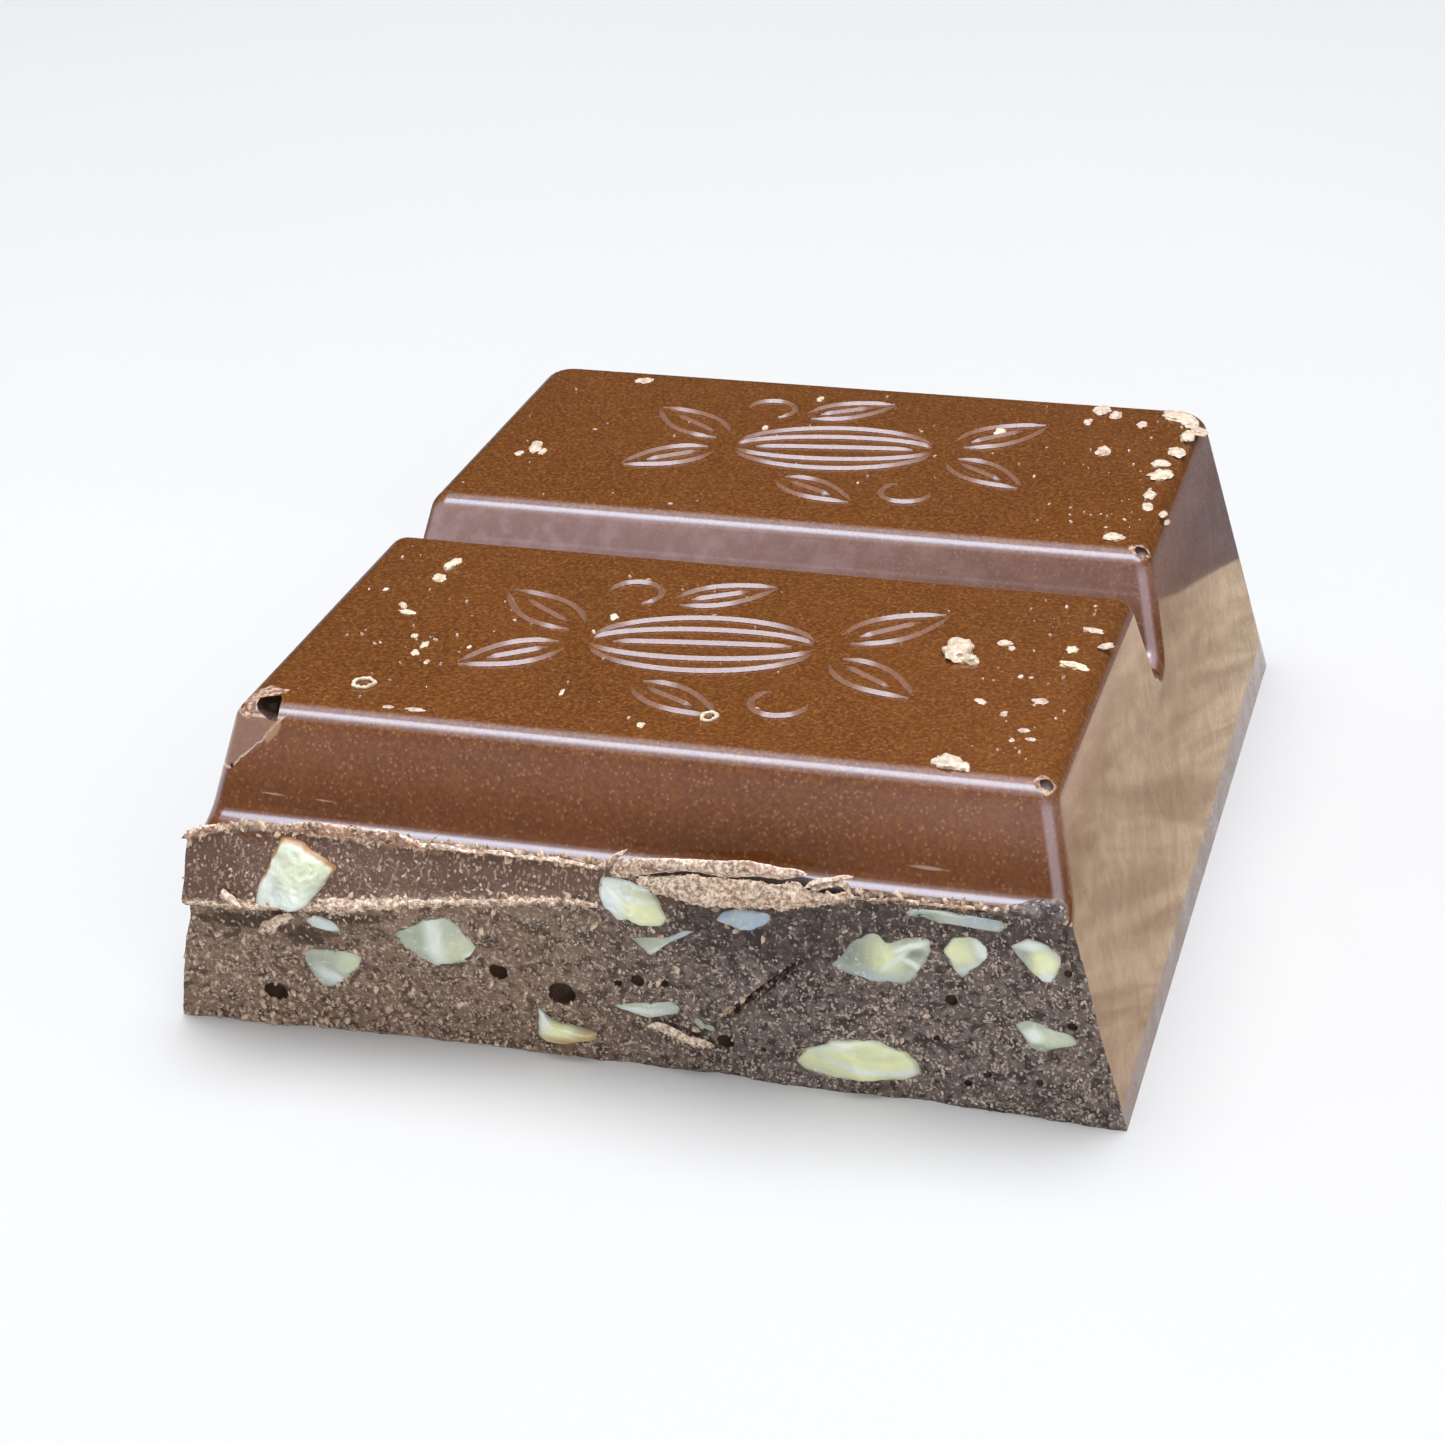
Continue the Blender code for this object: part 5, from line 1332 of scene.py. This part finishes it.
# Place across and along from the front lip, length, width and height, turn, and cream share
TOP_CRUMBS = (
    (10.45, 10.5, 1.25, 1.9, 0.75, 10, 0.55), (10.9, 9.9, 0.7, 0.9, 0.45, 60, 0.8),
    (12, 11.8, 0.55, 0.5, 0.15, 20, 0.6), (12.35, 11.4, 0.3, 0.4, 0.08, 0, 0.2),
    (12, 1, 1.15, 1, 0.4, -12, 0.45), (12.6, 0.8, 0.5, 0.6, 0.3, 30, 0.6),
    (14.7, 11.8, 0.5, 0.6, 0.15, 0, 1), (15.05, 10.3, 1.15, 0.55, 0.22, -14, 1),
    (15.2, 13.8, 0.9, 0.4, 0.06, -20, 0.25), (15.95, 12.4, 0.5, 0.7, 0.1, -40, 0.35),
    (-12.45, 14.7, 0.42, 1.3, 0.25, -15, 0.75), (-12.5, 13.2, 0.55, 0.8, 0.18, 30, 0.75),
    (-13, 10.2, 0.3, 0.7, 0.12, 35, 0.6), (-12.6, 9.6, 0.7, 0.4, 0.12, -8, 0.9),
    (-11.45, 7.45, 0.32, 0.35, 0.1, 0, 0.9), (-10.75, 6.7, 0.3, 0.6, 0.12, 0, 1),
    (-10.85, 5.9, 0.32, 0.5, 0.1, 20, 0.8), (-10.1, 5.2, 0.22, 0.4, 0.06, 0, 0.3),
    (-8.9, 6.9, 0.18, 0.3, 0.08, 0, 0.8), (-14.3, 11.6, 0.22, 0.3, 0.08, 0, 0.8),
    (-4.07, 10.9, 0.35, 0.6, 0.15, 20, 1), (-3.93, 3.7, 0.16, 0.6, 0.05, 0, 0.5),
    (-0.06, 1.6, 0.3, 0.45, 0.1, 0, 0.9), (-9, 1, 0.75, 0.3, 0.07, -5, 0.3),
    (-10.1, 1, 0.45, 0.25, 0.06, 0, 0.2), (12.1, 6.4, 0.34, 0.6, 0.08, 45, 0.2),
    (13.2, 5.5, 0.26, 0.5, 0.1, 0, 0.3), (14.35, 6.9, 0.65, 0.5, 0.1, 5, 0.15),
    (14.2, 4.3, 0.4, 0.35, 0.07, 0, 0.2), (14.6, 3.6, 0.45, 0.25, 0.07, -10, 0.2),
    (13.9, 3.4, 0.2, 0.3, 0.05, 0, 0.2), (13.2, 8.9, 0.2, 0.3, 0.08, 0, 0.5),
    (7.26, 34.6, 0.55, 0.9, 0.25, 0, 0.8), (11.4, 38.4, 0.75, 1.2, 0.2, 0, 0.3),
    (12.1, 37.9, 0.55, 1.1, 0.15, 0, 0.15), (11, 36.8, 0.4, 0.8, 0.1, 0, 0.1),
    (13.5, 36.9, 0.45, 0.8, 0.12, 0, 0.1), (12.3, 33.2, 0.65, 1.1, 0.25, 0, 0.45),
    (14.9, 38.3, 1.5, 1.1, 0.3, -15, 0.6), (15.6, 37.7, 0.8, 1.6, 0.35, 20, 0.7),
    (16.2, 36.6, 0.7, 1, 0.2, 40, 0.3), (15.8, 35.8, 0.65, 1.2, 0.3, 0, 0.6),
    (15.6, 33.7, 0.75, 1.2, 0.25, 20, 0.5), (15.1, 32.2, 0.8, 0.9, 0.22, 0, 0.4),
    (15.3, 30.8, 0.95, 1.3, 0.3, -30, 0.7), (15.2, 28.4, 0.55, 0.9, 0.2, 0, 0.5),
    (15.3, 27.1, 0.45, 0.9, 0.18, 15, 0.5), (16.1, 26.4, 0.35, 0.7, 0.15, 0, 0.3),
    (16.4, 25.5, 0.25, 0.6, 0.1, 0, 0.2), (14.4, 23.4, 0.85, 0.9, 0.22, 10, 0.6),
    (-13.4, 28.5, 0.55, 1.6, 0.12, 10, 0.3), (-12.9, 28, 0.35, 0.8, 0.1, 0, 0.4),
    (-13.9, 27.6, 0.35, 0.6, 0.08, 0, 0.3), (-11, 38, 0.9, 0.7, 0.15, 0, 0.3),
    (-2, 37.2, 0.3, 0.6, 0.15, 0, 0.4), (-3.6, 33, 0.28, 0.5, 0.1, 0, 0.8))

# Hoop-shaped crumbs: place across and along, and half sizes
RING_CRUMBS = ((-11.8, 2.75, 0.4, 0.4), (2.3, 2.8, 0.27, 0.36))
HOOP_STEPS = 32
HOOP_SIDES = 8
DUST_SIZE = (0.03 * MM, 0.10 * MM)
DUST_DENSITY = 0.9e6


def crumb(bm, creams, place, sizes, turn, cream, seed):
    """Adds one lumpy crumb with a flat foot to a shared mesh."""
    made = bmesh.ops.create_icosphere(bm, subdivisions=3, radius=1.0)["verts"]
    c, s = math.cos(math.radians(turn)), math.sin(math.radians(turn))
    for vert in made:
        lump = 1 + 0.40 * noise.noise(vert.co * 1.6 + Vector((seed, 0, 0)))
        lump += 0.22 * noise.noise(vert.co * 4.1 + Vector((0, seed, 0)))
        x, y, z = vert.co * lump
        x, y = x * sizes[0] / 2, y * sizes[1] / 2
        z = max(z, -0.25) * sizes[2] / 2 + 0.1 * sizes[2]
        vert.co = Vector((place[0] + x * c - y * s, place[1] + x * s + y * c, place[2] + z))
        creams.append(cream)


def ring_crumb(bm, creams, cx, cy, rx, ry):
    """Adds one uneven little hoop, such as the rim of a broken bubble, in millimetres."""
    hoops = []
    for i in range(HOOP_STEPS):
        angle = math.tau * i / HOOP_STEPS
        c, s = math.cos(angle), math.sin(angle)
        out = Vector((rx * c, ry * s, 0.0))
        out *= 1 + 0.22 * noise.noise(Vector((2 * c, 2 * s, cy)))
        thick = 0.075 + 0.055 * noise.noise(Vector((3 * c, 3 * s, cx)))
        way = out.normalized()
        hoops.append([])
        for k in range(HOOP_SIDES):
            turn = math.tau * k / HOOP_SIDES
            round_it = way * math.cos(turn) + Vector((0, 0, math.sin(turn)))
            spot = Vector((cx, cy, 0.05)) + out + round_it * thick
            hoops[-1].append(bm.verts.new((spot.x * MM, spot.y * MM, HEIGHT + spot.z * MM)))
            creams.append(0.9)
    bridge(bm, [*hoops, hoops[0]], ())


bm = bmesh.new()
creams = []
for i, (x, y, length, width, height, turn, cream) in enumerate(TOP_CRUMBS):
    crumb(bm, creams, (x * MM, y * MM, HEIGHT), (length * MM, width * MM, height * MM), turn, cream, i)
for ring in RING_CRUMBS:
    ring_crumb(bm, creams, *ring)
top_crumbs = mesh_object("top_crumbs", bm, [CRUMBS])
set_attribute(top_crumbs.data, "cream", creams)
shade(top_crumbs, 50)
place_on_frame(top_crumbs)
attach(top_crumbs, "root")


def top_patch():
    """Flat sheets over both segments, heavy with dust along the right lip and in one spot at the left."""
    bm = bmesh.new()
    weights = []
    for start in (0.9 * MM, SEGMENT_DEPTH + GROOVE_WIDTH + 0.9 * MM):
        rows = []
        for i in range(41):
            x = mix(-TOP_WIDTH / 2 + 0.8 * MM, TOP_WIDTH / 2 - 0.7 * MM, i / 40)
            row = []
            for k in range(21):
                y = start + (SEGMENT_DEPTH - 1.8 * MM) * k / 20
                row.append(bm.verts.new((x, y + LIP_Y, HEIGHT + 0.005 * MM)))
                right = clamp((x - 9 * MM) / (7 * MM)) ** 2
                weights.append(0.10 + right + 0.9 * bell(x, y, -10.5, 6.5, 2.5, 3.5))
            rows.append(row)
        for a, b in zip(rows, rows[1:]):
            for k in range(20):
                bm.faces.new((a[k], b[k], b[k + 1], a[k + 1]))
    mesh = bpy.data.meshes.new("top_patch")
    bm.to_mesh(mesh)
    bm.free()
    set_attribute(mesh, "weight", weights)
    set_attribute(mesh, "cream", [0.15] * len(weights))
    return add_object("top_patch", mesh)


fleck = shard("fleck", 2.0)
dusty = top_patch()
dust = scatter("top_dust", dusty, fleck, DUST_DENSITY, DUST_SIZE, 3, CRUMBS, 0.8)
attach(dust, "root")
discard((fleck, dusty))

# ======================================================================================
# The studio: a pale floor, soft light from above, and the camera where the photograph had it.
# The cards and the cloth are seen only in the gloss of the chocolate.
# ======================================================================================
CAMERA_PLACE = (33.95 * MM, -122.155 * MM, 67.64 * MM)
CAMERA_TURN = (63.819, 1.577, 15.714)
CAMERA_LENS = 79.72

lens = bpy.data.cameras.new("camera")
lens.lens = CAMERA_LENS
lens.sensor_width = 36.0
lens.clip_start = 0.001
camera = add_object("camera", lens)
camera.location = CAMERA_PLACE
camera.rotation_euler = [math.radians(angle) for angle in CAMERA_TURN]
bpy.context.scene.camera = camera


def floor_look():
    look = Look("studio_floor")
    shade_of = look.noise(60, 2)
    look.set(Base_Color=look.blend(shade_of, (0.64, 0.64, 0.64), (0.67, 0.67, 0.665)), Roughness=0.8)
    look.set(Specular_IOR_Level=0.1)
    return look.material


def glow_look(name, dark, light, strength):
    look = Look(name)
    creases = look.noise(7, 4, 0.6, warp=1.5).fade(0.35, 0.65)
    look.set(Base_Color=(0.0, 0.0, 0.0), Emission_Color=look.blend(creases, dark, light))
    look.set(Emission_Strength=strength)
    return look.material


def sky_look():
    """A bluish window overhead: a bright bar across it and a fainter glow that fades to its rim."""
    look = Look("sky_glow")
    along_bar = look.part("Y")
    core = along_bar.fade(-260, -90) * along_bar.fade(55, -30)
    halo = along_bar.fade(-580, -100) * 0.55 + along_bar.fade(420, 100) * 0.45 - 0.45
    ends = look.part("X").fade(-440, -200) * look.part("X").fade(410, 200)
    bright = core * 0.70 + halo.clamped() * 0.42
    look.set(Base_Color=(0.0, 0.0, 0.0))
    look.set(Emission_Color=look.blend((bright * ends).clamped(), (0.0, 0.0, 0.0), (0.64, 0.79, 1.0)))
    look.set(Emission_Strength=19.0)
    return look.material


def sheet(name, corners, mat, hidden):
    """A flat sheet of the studio through four corners."""
    bm = bmesh.new()
    bm.faces.new([bm.verts.new(corner) for corner in corners])
    card = mesh_object(name, bm, [mat])
    if hidden:
        card.visible_camera = False
        card.visible_diffuse = False
        card.visible_shadow = False
        card.visible_transmission = False


def level(x0, y0, x1, y1, z):
    return [(x0, y0, z), (x1, y0, z), (x1, y1, z), (x0, y1, z)]


sheet("floor", level(-2.0, -2.0, 2.0, 2.0, 0.0), floor_look(), False)
warm_corners = ((0.0196, -0.12), (0.20, -0.12), (0.20, 0.066), (0.0196, 0.037))
sheet("warm_card", [(x, y, 0.0004) for x, y in warm_corners],
      glow_look("warm_glow", (0.44, 0.35, 0.25), (0.74, 0.60, 0.44), 1.7), True)
sheet("grey_card", level(-0.3, 0.030, 0.6, 0.60, 0.0003),
      glow_look("grey_glow", (0.18, 0.17, 0.19), (0.24, 0.225, 0.25), 1.0), True)
sheet("dark_cloth", [(-2.0, 0.9, 0.0), (2.0, 0.9, 0.0), (2.0, 0.9, 1.6), (-2.0, 0.9, 1.6)],
      glow_look("cloth", (0.030, 0.022, 0.010), (0.065, 0.050, 0.028), 1.0), True)
sheet("sky_card", level(-0.45, -0.60, 0.42, 0.45, 0.50), sky_look(), True)


def soft_light(name, place, size, power, colour):
    light = bpy.data.lights.new(name, "AREA")
    light.shape = "DISK"
    light.size = size
    light.energy = power
    light.color = colour
    obj = add_object(name, light)
    obj.location = place
    obj.rotation_euler = (-Vector(place)).to_track_quat("-Z", "Y").to_euler()
    obj.visible_glossy = False


soft_light("overhead", (-0.02, 0.0, 0.52), 0.50, 3.3, (0.97, 0.98, 1.0))
soft_light("front_fill", (0.30, -0.45, 0.40), 0.35, 1.0, (1.0, 0.98, 0.96))

world = bpy.data.worlds.new("studio")
bpy.context.scene.world = world
world.use_nodes = True
world.node_tree.nodes["Background"].inputs["Color"].default_value = (0.93, 0.95, 1.0, 1.0)
world.node_tree.nodes["Background"].inputs["Strength"].default_value = 0.40
bpy.context.scene.view_settings.view_transform = "Standard"
